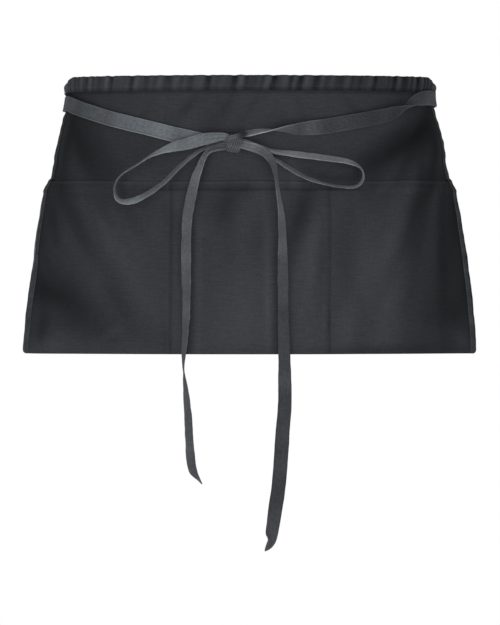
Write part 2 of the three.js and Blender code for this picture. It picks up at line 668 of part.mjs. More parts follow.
// Knot: the tape drawn tight round the strands, as a barrel lying along X with pleats
function makeKnot() {
  const sections = 11;
  const round = 16;
  const pleats = 3.5;
  const pleatShare = 0.05; // height of a pleat as a share of the knot's
  const taper = 0.62; // how much the knot draws in at its ends
  const lean = 0.16; // how far the knot climbs to the right
  const skew = 0.22; // how far its pleats slant
  const points = [];
  const triangles = [];
  for (let i = 0; i < sections; i++) {
    const share = i / (sections - 1);
    const along = (share - 0.5) * knotLength;
    const end = 2 * share - 1;
    const shoulder = Math.sqrt(1 - (taper * end ** 2) ** 2);
    const pleat = 1 + pleatShare * Math.cos(2 * Math.PI * pleats * share);
    for (let k = 0; k < round; k++) {
      const angle = (2 * Math.PI * k) / round;
      const up = Math.cos(angle) * (knotHeight / 2) * shoulder * pleat;
      const out = Math.sin(angle) * (knotThickness / 2) * shoulder * pleat;
      const slanted = along + skew * up * (1 - Math.abs(end));
      points.push(new THREE.Vector3(slanted, -out, up + lean * along).add(knotCentre));
    }
  }
  for (let i = 0; i + 1 < sections; i++)
    for (let k = 0; k < round; k++) {
      const a = i * round + k;
      const b = i * round + ((k + 1) % round);
      triangles.push(a, b, b + round, a, b + round, a + round);
    }
  for (let k = 1; k + 1 < round; k++) {
    const last = (sections - 1) * round;
    triangles.push(0, k + 1, k, last, last + k, last + k + 1);
  }
  return solid(points, triangles);
}

// Colours and finishes
const twill = new THREE.MeshStandardMaterial({ color: 0x3a3b3f, roughness: 0.9, metalness: 0 });
const tapeCloth = new THREE.MeshStandardMaterial({ color: 0x4a4f52, roughness: 0.85, metalness: 0 });
const bandCloth = new THREE.MeshStandardMaterial({ color: 0x3b4042, roughness: 0.88, metalness: 0 });

const apron = new THREE.Group();

function add(name, geometry, material) {
  const mesh = new THREE.Mesh(geometry, material);
  mesh.name = name;
  apron.add(mesh);
}

add("panel", makePanel(), twill);
add("pocket", makePocket(), twill);
add("side_hem_left", makeSideHem(-1), twill);
add("side_hem_right", makeSideHem(1), twill);
add("waistband", makeWaistband(), bandCloth);
add("tie_left", tieTape(-1, tieLeftRows, arrivalLeft, standOffLeft, tieUpLeft), tapeCloth);
add("tie_right", tieTape(1, tieRightRows, arrivalRight, standOffRight, tieUpRight), tapeCloth);
add("loop_left", bowStrand(loopLeftRows, loopReachLeft), tapeCloth);
add("loop_right", bowStrand(loopRightRows, loopReachRight), tapeCloth);
add("tail_left", bowStrand(tailLeftRows, tailLeft), tapeCloth);
add("tail_right", bowStrand(tailRightRows, tailRight), tapeCloth);
add("knot", makeKnot(), tapeCloth);

export default apron;
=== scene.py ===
# A dark twill waist apron with three front pockets, held as a wearer's waist holds it,
# its ties brought round the back and knotted in a bow at the front.
#
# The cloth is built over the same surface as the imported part, in millimetres, and each
# mesh is written in metres. across runs along the cloth from its centre line, and drop
# runs down it from the middle of the waistband.

import math

import bpy
import numpy as np
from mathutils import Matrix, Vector


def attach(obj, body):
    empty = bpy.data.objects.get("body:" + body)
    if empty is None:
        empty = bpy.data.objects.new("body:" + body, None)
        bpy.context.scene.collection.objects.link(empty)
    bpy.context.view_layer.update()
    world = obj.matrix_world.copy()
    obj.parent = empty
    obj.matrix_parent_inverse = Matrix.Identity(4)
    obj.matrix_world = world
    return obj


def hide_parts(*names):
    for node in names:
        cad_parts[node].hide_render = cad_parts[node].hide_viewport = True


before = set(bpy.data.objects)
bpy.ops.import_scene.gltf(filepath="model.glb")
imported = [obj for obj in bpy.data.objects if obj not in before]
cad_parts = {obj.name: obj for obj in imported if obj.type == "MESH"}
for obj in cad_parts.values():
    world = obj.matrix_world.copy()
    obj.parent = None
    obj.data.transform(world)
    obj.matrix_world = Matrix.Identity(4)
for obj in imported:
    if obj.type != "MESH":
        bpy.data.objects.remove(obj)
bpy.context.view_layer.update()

METRE = 1000.0

# Cloth and hems
CLOTH = 1.2
CLEARANCE = 0.35
PANEL_WIDTH = 559.0
PANEL_LENGTH = 294.0
SIDE_HEM = 9.5
POCKET_DEPTH = 182.0
MOUTH_HEM = 9.8
MOUTH_HEM_THICKNESS = 0.9
SEAM_OFFSET = 84.0
POCKET_GAPE = 11.0

# Waistband and ties
BAND_HEIGHT = 16.0
TIE_WIDTH = 16.0
TIE_THICKNESS = 1.6

# Curve round the body
EDGE_TURN_TOP = 88.0
EDGE_TURN_BOTTOM = 51.5
CURL_TOP = 0.8
CURL_BOTTOM = -0.2
HEM_TURN = 7.0
FRONT_LEAN = 7.0
SIDE_RISE = 5.0
BACK_DEPTH = 122.0
JOG = 5.0
CORNER_RADIUS = 7.0
END_RADIUS = 6.5
END_BEND = 0.0042  # how fast the band's ends turn away from the front, per mm
END_FLARE = 3.4  # the band's foot stands out where the ties are sewn on
END_FROM = -6.0
END_TO = 9.5

# Bow
KNOT_ACROSS = -17.0
KNOT_DROP = 63.0
KNOT_OUT = 10.5
KNOT_LENGTH = 15.0
KNOT_HEIGHT = 18.0
KNOT_THICKNESS = 14.0
LOOP_REACH_LEFT = 126.0
LOOP_REACH_RIGHT = 137.0
TAIL_LEFT = 353.0
TAIL_RIGHT = 427.0
LOOP_STAND = 21.0

HALF_WIDTH = PANEL_WIDTH / 2
TOP_DROP = -BAND_HEIGHT / 2
BOTTOM_DROP = TOP_DROP + PANEL_LENGTH
MOUTH_DROP = BOTTOM_DROP - POCKET_DEPTH
MOUTH_FOOT = MOUTH_DROP + MOUTH_HEM
CLOTH_EDGE = HALF_WIDTH - CLOTH - CLEARANCE
HEM_EDGE = HALF_WIDTH - SIDE_HEM
FIRST_FACE = CLOTH / 2
POCKET_BACK = FIRST_FACE + CLEARANCE
POCKET_FRONT = POCKET_BACK + CLOTH
REST_OUT = FIRST_FACE + CLOTH + 5 * CLEARANCE + TIE_THICKNESS / 2

# Fineness of the meshes
SHEET_STEP = 2.6
TAPE_STEP = 2.5
STITCH_PITCH = 3.0
STITCH_LENGTH = 2.3
STITCH_RADIUS = 0.22


def mix(a, b, share):
    return a + (b - a) * share


def smooth(value):
    share = np.clip(value, 0, 1)
    return share * share * (3 - 2 * share)


def bump(value):
    """1 at 0, falling smoothly to 0 at plus and minus 1."""
    return smooth(1 - np.abs(value))


def unit(vectors):
    return vectors / np.maximum(np.linalg.norm(vectors, axis=-1, keepdims=True), 1e-9)


# Main folds and dents of the panel. across is a share of half the width, drop and long
# of the panel's length; lean is the ridge's direction from upright in degrees, wide its
# half width as a share of the length, and height a share of the pocket's gape.
FOLD_NAMES = ("across", "drop", "lean", "long", "wide", "height")
FOLDS = [
    (0.78, 0.2, 55, 0.2, 0.07, -0.45),
    (0.66, 0.31, 50, 0.24, 0.07, -0.35),
    (0.78, 0.36, 38, 0.26, 0.08, 0.43),
    (0.6, 0.78, 6, 0.34, 0.09, 0.39),
    (0.85, 0.74, 4, 0.3, 0.08, -0.39),
    (0.24, 0.7, 5, 0.3, 0.05, 0.26),
    (0.4, 0.76, -8, 0.22, 0.05, -0.17),
    (-0.1, 0.55, -12, 0.16, 0.06, -0.19),
    (-0.15, 0.16, 35, 0.09, 0.05, -0.13),
    (-0.72, 0.24, -48, 0.24, 0.08, -0.43),
    (-0.78, 0.8, -58, 0.2, 0.07, -0.52),
    (-0.62, 0.62, -40, 0.26, 0.08, 0.3),
    (-0.36, 0.45, -35, 0.16, 0.055, -0.17),
    (-0.86, 0.95, 70, 0.14, 0.055, 0.26),
    (0.2, 0.5, 20, 0.14, 0.04, -0.25),
    (0.29, 0.56, 14, 0.16, 0.035, 0.2),
]

# Shallow dents and swells, in the same terms, with painted shade in the dents and painted light on the
# swells. Each was drawn by hand as a stroke over the photo, and a scratch script turned it into them.
DENTS = [
    (0.7, 0.24, 67, 0.27, 0.028, -0.14),
    (0.99, 0.24, 0, 0.13, 0.032, -0.14),
    (0.72, 0.55, 20, 0.2, 0.046, -0.12),
    (0.63, 0.83, 12, 0.17, 0.05, -0.08),
    (-0.98, 0.22, -9, 0.12, 0.032, -0.13),
    (-0.73, 0.54, -38, 0.21, 0.039, -0.09),
    (-0.53, 0.79, -31, 0.15, 0.046, -0.06),
    (-0.99, 0.8, 7, 0.09, 0.028, -0.13),
    (-0.81, 0.9, -90, 0.12, 0.035, -0.07),
    (-0.09, 0.44, 19, 0.08, 0.035, -0.09),
    (0.03, 0.57, 3, 0.1, 0.035, -0.04),
    (0.19, 0.49, 15, 0.13, 0.035, -0.09),
    (0.27, 0.63, 12, 0.22, 0.025, -0.05),
    (0.55, 0.99, 89, 0.22, 0.025, -0.14),
    (-0.46, 0.52, -41, 0.12, 0.028, -0.04),
    (-0.25, 0.12, 49, 0.09, 0.025, -0.06),
    (-0.38, 0.92, -30, 0.1, 0.042, -0.04),
    (0.61, 0.33, 46, 0.17, 0.028, 0.1),
    (0.42, 0.76, 14, 0.24, 0.046, 0.06),
    (-0.49, 0.38, 82, 0.12, 0.032, 0.06),
    (-0.37, 0.47, -12, 0.07, 0.028, 0.04),
]

# Strokes of painted light, above 0, and of painted shade, in the same terms.
# All but the first five rows came the same way as the dents.
PAINTED_SHADES = [
    (-0.95, 0.28, 0, 0.3, 0.12, -0.45),
    (-0.98, 0.6, -8, 0.3, 0.06, -0.25),
    (0.95, 0.3, 0, 0.25, 0.12, -0.4),
    (0.99, 0.62, 0, 0.35, 0.07, -0.5),
    (0.9, 0.17, 52, 0.2, 0.06, -0.35),
    (0.64, 0.25, 66, 0.23, 0.032, -0.3),
    (0.95, 0.25, 20, 0.14, 0.035, -0.4),
    (0.7, 0.52, 29, 0.21, 0.039, -0.35),
    (0.92, 0.83, 27, 0.09, 0.042, -0.25),
    (-0.78, 0.25, -47, 0.18, 0.032, -0.29),
    (-0.72, 0.54, -44, 0.21, 0.039, -0.25),
    (-0.91, 0.78, -73, 0.11, 0.035, -0.32),
    (-0.88, 0.9, 10, 0.06, 0.032, -0.18),
    (-0.05, 0.44, 27, 0.08, 0.032, -0.2),
    (0.22, 0.48, 11, 0.08, 0.032, -0.15),
    (0.57, 0.83, 14, 0.16, 0.035, -0.11),
    (-0.11, 0.58, -49, 0.09, 0.05, 0.09),
    (0.38, 0.87, 7, 0.08, 0.042, 0.12),
    (0.84, 0.35, 51, 0.23, 0.035, -0.6),
    (0.65, 0.54, 25, 0.13, 0.032, -0.4),
    (0.82, 0.84, -81, 0.11, 0.039, -0.14),
    (0.27, 0.63, 12, 0.22, 0.028, -0.1),
    (-0.69, 0.52, -38, 0.2, 0.032, -0.18),
    (-0.5, 0.75, -20, 0.13, 0.042, -0.1),
    (0.65, 0.94, -86, 0.09, 0.032, -0.12),
    (0.07, 0.99, -90, 0.31, 0.018, -0.1),
    (-0.88, 0.5, -44, 0.06, 0.028, -0.16),
    (-0.71, 0.98, -89, 0.21, 0.028, 0.1),
    (0.84, 0.35, 52, 0.23, 0.032, -0.1),
    (0.63, 0.55, 32, 0.12, 0.028, -0.2),
    (0.57, 0.25, 68, 0.21, 0.028, -0.32),
    (0.99, 0.71, 3, 0.21, 0.028, -0.36),
    (0.88, 0.6, 3, 0.26, 0.050, -0.16),
    (0.55, 0.71, 20, 0.13, 0.028, -0.12),
    (-0.88, 0.25, 6, 0.1, 0.032, -0.24),
    (-0.78, 0.41, -79, 0.12, 0.025, -0.16),
    (-0.62, 0.55, -28, 0.13, 0.021, -0.14),
    (-0.87, 0.55, -33, 0.08, 0.025, -0.16),
    (-1.0, 0.8, 0, 0.06, 0.021, -0.28),
    (-0.87, 0.94, -84, 0.08, 0.028, -0.16),
    (0.75, 0.88, -88, 0.09, 0.028, -0.12),
    (0.68, 0.98, -85, 0.09, 0.018, -0.12),
    (0.16, 0.36, -37, 0.06, 0.028, 0.16),
    (0.39, 0.35, 74, 0.05, 0.021, 0.12),
    (0.92, 0.95, -72, 0.07, 0.028, 0.16),
    (0.08, 0.31, -35, 0.03, 0.018, -0.16),
    (0.78, 0.35, 50, 0.23, 0.035, -0.4),
    (0.92, 0.21, 38, 0.14, 0.028, -0.4),
    (0.6, 0.21, 72, 0.13, 0.025, -0.24),
    (0.49, 0.36, 10, 0.09, 0.050, -0.2),
    (0.65, 0.82, 10, 0.19, 0.085, -0.16),
    (-0.2, 0.72, 0, 0.31, 0.018, 0.26),
    (0.07, 0.77, 0, 0.25, 0.018, 0.26),
    (-0.03, 0.81, 0, 0.2, 0.078, 0.1),
    (-0.38, 0.39, -53, 0.15, 0.039, 0.14),
    (-0.01, 0.41, -14, 0.04, 0.025, -0.16),
    (0.27, 0.62, 2, 0.27, 0.028, -0.18),
    (0.85, 0.54, 4, 0.34, 0.028, -0.24),
    (0.73, 0.36, 31, 0.07, 0.018, -0.28),
    (0.95, 0.5, 13, 0.11, 0.025, -0.24),
    (0.72, 0.87, 2, 0.12, 0.035, -0.11),
    (-0.86, 0.33, -5, 0.22, 0.035, -0.16),
    (-0.6, 0.48, -40, 0.08, 0.021, -0.14),
    (-0.9, 0.86, -8, 0.13, 0.028, -0.16),
    (-0.5, 0.83, -33, 0.12, 0.032, -0.1),
    (-0.32, 0.93, -8, 0.07, 0.021, -0.14),
    (0.16, 0.33, -43, 0.05, 0.021, 0.16),
]

# Small creases, in the same terms
CREASES = [
    (-0.235, 0.098, 38, 0.045, 0.012, -0.1),
    (-0.085, 0.095, 36, 0.06, 0.013, -0.14),
    (0.012, 0.1, 33, 0.06, 0.012, -0.13),
    (0.19, 0.1, -20, 0.05, 0.012, -0.07),
    (0.345, 0.345, 78, 0.03, 0.008, 0.06),
    (0.375, 0.352, 74, 0.03, 0.008, -0.06),
    (0.17, 0.16, -32, 0.08, 0.02, 0.06),
    (0.42, 0.12, -40, 0.07, 0.018, -0.08),
    (-0.42, 0.14, 34, 0.07, 0.018, -0.08),
    (0.28, 0.9, 8, 0.09, 0.014, 0.09),
    (0.3, 0.86, -6, 0.07, 0.01, -0.08),
    (-0.3, 0.92, 6, 0.08, 0.012, 0.07),
    (0.21, 0.72, 14, 0.1, 0.016, -0.08),
    (-0.55, 0.92, 62, 0.1, 0.02, 0.1),
    (-0.93, 0.68, -30, 0.06, 0.02, 0.12),
]

# Puckers of the gathered waistband: where along half the width, how deep and how they lean
PUCKER_NAMES = ("across", "depth", "lean")
PUCKERS = [
    (-0.9, 0.5, 10),
    (-0.79, 0.7, -14),
    (-0.69, 0.5, 12),
    (-0.583, 0.6, 18),
    (-0.485, 0.7, 16),
    (-0.405, 0.6, 20),
    (-0.31, 1.0, 24),
    (-0.235, 0.4, 10),
    (-0.156, 1.0, 26),
    (-0.1, 0.4, 14),
    (-0.057, 0.7, 22),
    (-0.011, 0.7, 24),
    (0.068, 1.0, 20),
    (0.11, 0.35, 8),
    (0.152, 0.7, 14),
    (0.2, 0.3, -10),
    (0.243, 0.6, -14),
    (0.31, 0.75, -18),
    (0.375, 0.6, -20),
    (0.432, 0.5, -16),
    (0.53, 0.7, -20),
    (0.655, 0.6, -22),
    (0.76, 0.5, -18),
    (0.88, 0.4, -10),
]


def ridges(table, across, drop):
    height = np.zeros(np.broadcast(across, drop).shape)
    for row in table:
        fold = dict(zip(FOLD_NAMES, row))
        right = across - fold["across"] * HALF_WIDTH
        down = drop - TOP_DROP - fold["drop"] * PANEL_LENGTH
        lean = math.radians(fold["lean"])
        along = (down * math.cos(lean) - right * math.sin(lean)) / (fold["long"] * PANEL_LENGTH)
        beside = (right * math.cos(lean) + down * math.sin(lean)) / (fold["wide"] * PANEL_LENGTH)
        height += fold["height"] * POCKET_GAPE * np.exp(-along * along - beside * beside)
    return height


def puckers(across, drop):
    """Pinches that start at the band's stitch line and fade up the band and down the panel."""
    height = np.zeros(np.broadcast(across, drop).shape)
    foot = BAND_HEIGHT / 2
    for row in PUCKERS:
        pinch = dict(zip(PUCKER_NAMES, row))
        below = drop - foot
        place = pinch["across"] * HALF_WIDTH - below * math.tan(math.radians(pinch["lean"]))
        spread = 2.6 + np.maximum(0, below) * 0.12
        reach = np.where(below < 0, 1 - 0.5 * smooth(-below / BAND_HEIGHT), np.exp(-below / 11.0))
        height -= 0.85 * pinch["depth"] * reach * np.exp(-((across - place) / spread) ** 2)
    return height


def ripple(place, seed, lengths, sizes):
    """A gentle irregular wave along a line, from a few sines."""
    total = np.zeros(np.shape(place))
    for i, (length, size) in enumerate(zip(lengths, sizes)):
        total += size * np.sin(2 * math.pi * place / length + 1.7 * seed + 2.3 * i)
    return total


# The plain curve of the hanging panel
def flare(drop):
    fall = np.clip((drop - TOP_DROP) / PANEL_LENGTH, 0, 1)
    return 1 - (1 - np.clip((fall - 0.1) / 0.9, 0, 1)) ** 1.5


def turn(share, drop):
    curl = mix(CURL_TOP, CURL_BOTTOM, flare(drop))
    most = np.radians(mix(EDGE_TURN_TOP, EDGE_TURN_BOTTOM, flare(drop)))
    hem_share = (share - 1 + SIDE_HEM / HALF_WIDTH) / (SIDE_HEM / HALF_WIDTH)
    rolled = most * ((share + curl * share**3 / 3) / (1 + curl / 3))
    return rolled + math.radians(HEM_TURN) * smooth(hem_share)


def plan_place(across, drop):
    steps = 24
    reach = np.abs(across)
    step = reach / steps
    x = np.zeros(np.shape(across))
    y = np.zeros(np.shape(across))
    for i in range(steps):
        angle = turn((i + 0.5) * step / HALF_WIDTH, drop)
        x = x + np.cos(angle) * step
        y = y + np.sin(angle) * step
    return np.sign(across) * x, y, turn(reach / HALF_WIDTH, drop)


WAIST_FRONT = float(plan_place(np.array(HALF_WIDTH), np.array(TOP_DROP))[1])


def relief(across, drop):
    """Everything that lifts the panel off its plain curve, shared by all its layers."""
    share = np.abs(across) / HALF_WIDTH
    inner = 1 - smooth((share - 0.93) / 0.07)
    edge = ripple(drop, 3.0 * np.sign(across), (41, 23, 11), (0.2, 0.12, 0.08))
    rim = smooth((share - 0.9) / 0.1) * smooth((drop - BAND_HEIGHT) / 20)
    small = ridges(DENTS, across, drop) + ridges(CREASES, across, drop) + puckers(across, drop)
    return ridges(FOLDS, across, drop) + small * inner + edge * rim


# How strongly folds, dents, creases and puckers are painted as light and shade, and how dark the painted
# shadow under the band is
FOLD_SHADING = 0.12  # per mm of a fold's height
DENT_SHADING = 0.32
CREASE_SHADING = 0.12
PUCKER_SHADING = 0.16
UNDER_BAND_SHADOW = 0.95


def painted_fold_shading(across, drop):
    """Painted light and shade: folds and strokes are painted paler on their ridges and darker in their
    valleys, with painted shade in dents, creases and puckers and a painted shadow under the band.
    """
    share = np.abs(across) / HALF_WIDTH
    inner = 1 - smooth((share - 0.93) / 0.07)
    painted_shade = FOLD_SHADING * ridges(FOLDS + PAINTED_SHADES, across, drop) + DENT_SHADING * ridges(DENTS, across, drop)
    painted_shade = painted_shade + CREASE_SHADING * ridges(CREASES, across, drop) * inner
    shadow_under_band = np.exp(-(((drop - BAND_HEIGHT / 2 - 0.9) / 1.3) ** 2))
    pucker_shade = np.minimum(0, puckers(across, drop) + 0.2)
    return np.expm1(painted_shade + PUCKER_SHADING * pucker_shade - UNDER_BAND_SHADOW * shadow_under_band)


def corner_rise(across, drop):
    """The bottom corners are rounded."""
    beyond = np.clip((np.abs(across) - HALF_WIDTH) / CORNER_RADIUS + 1, 0, 0.98)
    near_bottom = smooth((drop - BOTTOM_DROP) / (2 * CORNER_RADIUS) + 1)
    return CORNER_RADIUS * (1 - np.sqrt(1 - beyond**2)) * near_bottom


def end_distance(across):
    """How far inside the apron's outline a place near the side edge is seen from the front."""
    return END_BEND * (HALF_WIDTH - np.abs(across)) ** 2


def corner_dip(across, drop):
    """The band's top corners are rounded, and so is what lies in it."""
    beyond = np.clip(1 - end_distance(across) / END_RADIUS, 0, 0.99)
    return END_RADIUS * (1 - np.sqrt(1 - beyond**2)) * smooth(1 - (drop - TOP_DROP) / (2.2 * END_RADIUS))


def surface(across, drop, folded=True):
    across, drop = np.broadcast_arrays(np.asarray(across, float), np.asarray(drop, float))
    drop = drop - corner_rise(across, drop)
    dip = corner_dip(across, drop)
    x, y, angle = plan_place(across, drop)
    side = np.where(across < 0, -1.0, 1.0)
    share = np.abs(across) / HALF_WIDTH
    fall = np.clip((drop - TOP_DROP) / PANEL_LENGTH, 0, 1)
    below = (drop - MOUTH_DROP) / MOUTH_HEM
    step = JOG * smooth(below - 0.2) * (1 - fall) - (JOG / 2) * smooth(below + 3) * (1 - fall)
    lift = step * smooth((share - 0.72) / 0.28)
    if folded:
        lift = lift + relief(across, drop)
        foot = smooth((drop - END_FROM) / 8) * (1 - smooth((drop - END_TO) / 4))
        lift = lift + END_FLARE * smooth(1 - end_distance(across) / 2.5) * foot
    return np.stack(
        [
            x + side * np.sin(angle) * lift,
            y - WAIST_FRONT - FRONT_LEAN * fall - np.cos(angle) * lift,
            SIDE_RISE * share**2 * (1 - fall) - drop - dip,
        ],
        axis=-1,
    )


def outward(across, drop, folded=True):
    small = 0.5
    along = surface(across + small, drop, folded) - surface(across - small, drop, folded)
    down = surface(across, drop + small, folded) - surface(across, drop - small, folded)
    return unit(np.cross(down, along))


def layer(across, drop, offset):
    across, drop, offset = np.broadcast_arrays(across, drop, offset)
    return surface(across, drop) + outward(across, drop) * offset[..., None]


# Meshes
def stations(breaks, step):
    values = [breaks[0]]
    for low, high in zip(breaks, breaks[1:]):
        parts = max(1, round((high - low) / step))
        values += [mix(low, high, k / parts) for k in range(1, parts + 1)]
    return np.array(values)


def rim_stations(first, last, step, radius=0.5):
    """Even stations with a few more at both ends, for a rounded rim."""
    near = [0.0, 0.12 * radius, 0.5 * radius, radius]
    inner = stations([first + 2 * radius, last - 2 * radius], step)
    return np.array([first + v for v in near] + list(inner) + [last - v for v in reversed(near)])


def rim_share(values, radius=0.5):
    """How much of its full thickness a wall has, near its first and last station."""
    edge = np.minimum(values - values[0], values[-1] - values)
    inside = np.clip(edge / radius, 0, 1)
    return 0.25 + 0.75 * np.sqrt(1 - (1 - inside) ** 2)


def make_object(name, points, faces, uv_points=None, sharp=50, wear_and_painted_shade=None):
    """The per-point tint makes the cloth lighter (above 0) or darker at each point: mostly painted light and
    shade, with some uneven tone and worn edges.
    """
    mesh = bpy.data.meshes.new(name)
    mesh.from_pydata((np.asarray(points) / METRE).tolist(), [], faces)
    tint = mesh.attributes.new("wear_and_painted_shade", "FLOAT", "POINT")
    tint.data.foreach_set("value", np.zeros(len(points)) if wear_and_painted_shade is None else np.asarray(wear_and_painted_shade, float))
    if uv_points is not None:
        layer_uv = mesh.uv_layers.new(name="cloth")
        corner = np.zeros(len(mesh.loops), int)
        mesh.loops.foreach_get("vertex_index", corner)
        layer_uv.data.foreach_set("uv", (np.asarray(uv_points) / METRE)[corner].ravel())
    mesh.polygons.foreach_set("use_smooth", [True] * len(mesh.polygons))
    mesh.set_sharp_from_angle(angle=math.radians(sharp))
    mesh.validate()
    made = bpy.data.objects.new(name, mesh)
    bpy.context.scene.collection.objects.link(made)
    return made


def grid_quads(rows, columns, start=0, flip=False):
    r, c = np.meshgrid(np.arange(rows - 1), np.arange(columns - 1), indexing="ij")
    a = (start + r * columns + c).ravel()
    quads = np.stack([a, a + columns, a + columns + 1, a + 1], axis=1)
    return quads[:, ::-1] if flip else quads


def wall(name, front, back, uv, sharp=50, wear_and_painted_shade=None):
    """A closed sheet between two grids; rows run down and columns to the right."""
    rows, columns = front.shape[:2]
    size = rows * columns
    quads = [grid_quads(rows, columns), grid_quads(rows, columns, size, flip=True)]
    c = np.arange(columns - 1)
    quads.append(np.stack([c, c + 1, c + 1 + size, c + size], axis=1))
    low = (rows - 1) * columns + c
    quads.append(np.stack([low + 1, low, low + size, low + 1 + size], axis=1))
    r = np.arange(rows - 1) * columns
    quads.append(np.stack([r + columns, r, r + size, r + columns + size], axis=1))
    right = r + columns - 1
    quads.append(np.stack([right, right + columns, right + columns + size, right + size], axis=1))
    points = np.concatenate([front.reshape(-1, 3), back.reshape(-1, 3)])
    uv_points = np.concatenate([uv.reshape(-1, 2), uv.reshape(-1, 2)])
    if wear_and_painted_shade is not None:
        wear_and_painted_shade = np.concatenate([wear_and_painted_shade.ravel(), wear_and_painted_shade.ravel()])
    return make_object(name, points, np.concatenate(quads).tolist(), uv_points, sharp, wear_and_painted_shade)


# Materials
def new_material(name):
    material = bpy.data.materials.new(name)
    material.use_nodes = True
    nodes = material.node_tree.nodes
    return material, nodes, material.node_tree.links, nodes["Principled BSDF"]


CLOUD = 0.3
SLUB = 0.36
SLUB_ACROSS = 560
SLUB_ALONG = 70


def multiply_add(nodes, links, value, factor, added):
    node = nodes.new("ShaderNodeMath")
    node.operation = "MULTIPLY_ADD"
    links.new(value, node.inputs[0])
    node.inputs[1].default_value = factor
    if isinstance(added, float):
        node.inputs[2].default_value = added
    else:
        links.new(added, node.inputs[2])
    return node.outputs["Value"]


def fabric(name, colour, weave=0.9, speckle=0.6, roughness=0.88, sheen=0.04, relief_mm=0.12):
    """Dyed twill: a fine diagonal weave, uneven dye, a little lint and a soft sheen."""
    material, nodes, links, shader = new_material(name)
    uv = nodes.new("ShaderNodeUVMap")
    uv.uv_map = "cloth"
    place = nodes.new("ShaderNodeMapping")
    place.inputs["Rotation"].default_value = (0, 0, math.radians(27))
    links.new(uv.outputs["UV"], place.inputs["Vector"])
    twill = nodes.new("ShaderNodeTexWave")
    twill.inputs["Scale"].default_value = 314 / weave
    twill.inputs["Distortion"].default_value = 1.5
    twill.inputs["Detail"].default_value = 1
    twill.inputs["Detail Scale"].default_value = 3
    links.new(place.outputs["Vector"], twill.inputs["Vector"])
    yarn = nodes.new("ShaderNodeTexNoise")
    yarn.inputs["Scale"].default_value = 900
    yarn.inputs["Detail"].default_value = 3
    links.new(uv.outputs["UV"], yarn.inputs["Vector"])
    weave_height = nodes.new("ShaderNodeMath")
    weave_height.operation = "MULTIPLY_ADD"
    weave_height.inputs[1].default_value = 0.55
    links.new(twill.outputs["Fac"], weave_height.inputs[0])
    links.new(yarn.outputs["Fac"], weave_height.inputs[2])
    height = nodes.new("ShaderNodeBump")
    height.inputs["Strength"].default_value = 0.55
    height.inputs["Distance"].default_value = relief_mm / METRE
    links.new(weave_height.outputs["Value"], height.inputs["Height"])
    links.new(height.outputs["Normal"], shader.inputs["Normal"])

    coordinates = nodes.new("ShaderNodeTexCoord")
    shade = 1 - (CLOUD + speckle) / 2 - SLUB
    for scale, detail, size in ((14, 5, CLOUD), (700, 2, speckle)):
        noise = nodes.new("ShaderNodeTexNoise")
        noise.inputs["Scale"].default_value = scale
        noise.inputs["Detail"].default_value = detail
        links.new(coordinates.outputs["Object"], noise.inputs["Vector"])
        shade = multiply_add(nodes, links, noise.outputs["Fac"], size, shade)
    slubs_across = ((SLUB_ACROSS, SLUB_ALONG, 1), 0.6 * SLUB)
    slubs_along = ((SLUB_ALONG, SLUB_ACROSS, 1), 1.4 * SLUB)
    for stretch, size in (slubs_across, slubs_along):
        drawn = nodes.new("ShaderNodeMapping")
        drawn.inputs["Scale"].default_value = stretch
        links.new(uv.outputs["UV"], drawn.inputs["Vector"])
        slub = nodes.new("ShaderNodeTexNoise")
        slub.inputs["Scale"].default_value = 1
        slub.inputs["Detail"].default_value = 2
        links.new(drawn.outputs["Vector"], slub.inputs["Vector"])
        shade = multiply_add(nodes, links, slub.outputs["Fac"], size, shade)
    # The colour is multiplied by the per-point tint, mostly painted light and shade with some uneven tone and
    # worn edges.
    wear_and_shade_attribute = nodes.new("ShaderNodeAttribute")
    wear_and_shade_attribute.attribute_name = "wear_and_painted_shade"
    kept = nodes.new("ShaderNodeMath")
    kept.operation = "MULTIPLY"
    links.new(multiply_add(nodes, links, wear_and_shade_attribute.outputs["Fac"], 1.0, 1.0), kept.inputs[0])
    links.new(shade, kept.inputs[1])
    shade = kept.outputs["Value"]
    tinted = nodes.new("ShaderNodeMix")
    tinted.data_type = "RGBA"
    tinted.blend_type = "MULTIPLY"
    tinted.inputs["Factor"].default_value = 1
    tinted.inputs["A"].default_value = (*colour, 1)
    links.new(shade, tinted.inputs["B"])
    links.new(tinted.outputs["Result"], shader.inputs["Base Color"])
    shader.inputs["Roughness"].default_value = roughness
    shader.inputs["Specular IOR Level"].default_value = 0.12
    shader.inputs["Sheen Weight"].default_value = sheen
    shader.inputs["Sheen Roughness"].default_value = 0.45
    shader.inputs["Sheen Tint"].default_value = (0.85, 0.92, 1, 1)
    return material


TWILL = fabric("panel_twill", (0.0355, 0.0365, 0.0425))
POCKET_TWILL = fabric("pocket_cloth", (0.036, 0.037, 0.043))
# The hem cloth is a little greener and paler than the panel's; the paleness is painted light on the hems'
# sideways faces.
HEM_TWILL = fabric("hem_cloth", (0.046, 0.05, 0.055), weave=0.8)
BAND_TWILL = fabric("band_cloth", (0.0375, 0.041, 0.046), weave=0.8, relief_mm=0.16)
# The tapes' twill is given a paler colour than the band's cloth of the same fabric, as painted light and
# sheen on the tapes; the bluer copy goes on the left tie and loop.
TAPE_LOOK = {"weave": 0.7, "speckle": 0.9, "sheen": 0.1, "relief_mm": 0.14}
TAPE_TWILL = fabric("tape_cloth", (0.08, 0.083, 0.092), **TAPE_LOOK)
TAPE_BLUE = fabric("tape_cloth_blue", (0.079, 0.087, 0.095), **TAPE_LOOK)
THREAD = fabric("sewing_thread", (0.034, 0.035, 0.038), weave=0.3, speckle=0.2, roughness=0.6, sheen=0.1)


def dress(piece, material, replaced=None):
    piece.data.materials.append(material)
    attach(piece, "root")
    if replaced:
        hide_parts(replaced)
    return piece


# Panel and pocket cloth
COLUMNS = rim_stations(-CLOTH_EDGE, CLOTH_EDGE, SHEET_STEP)


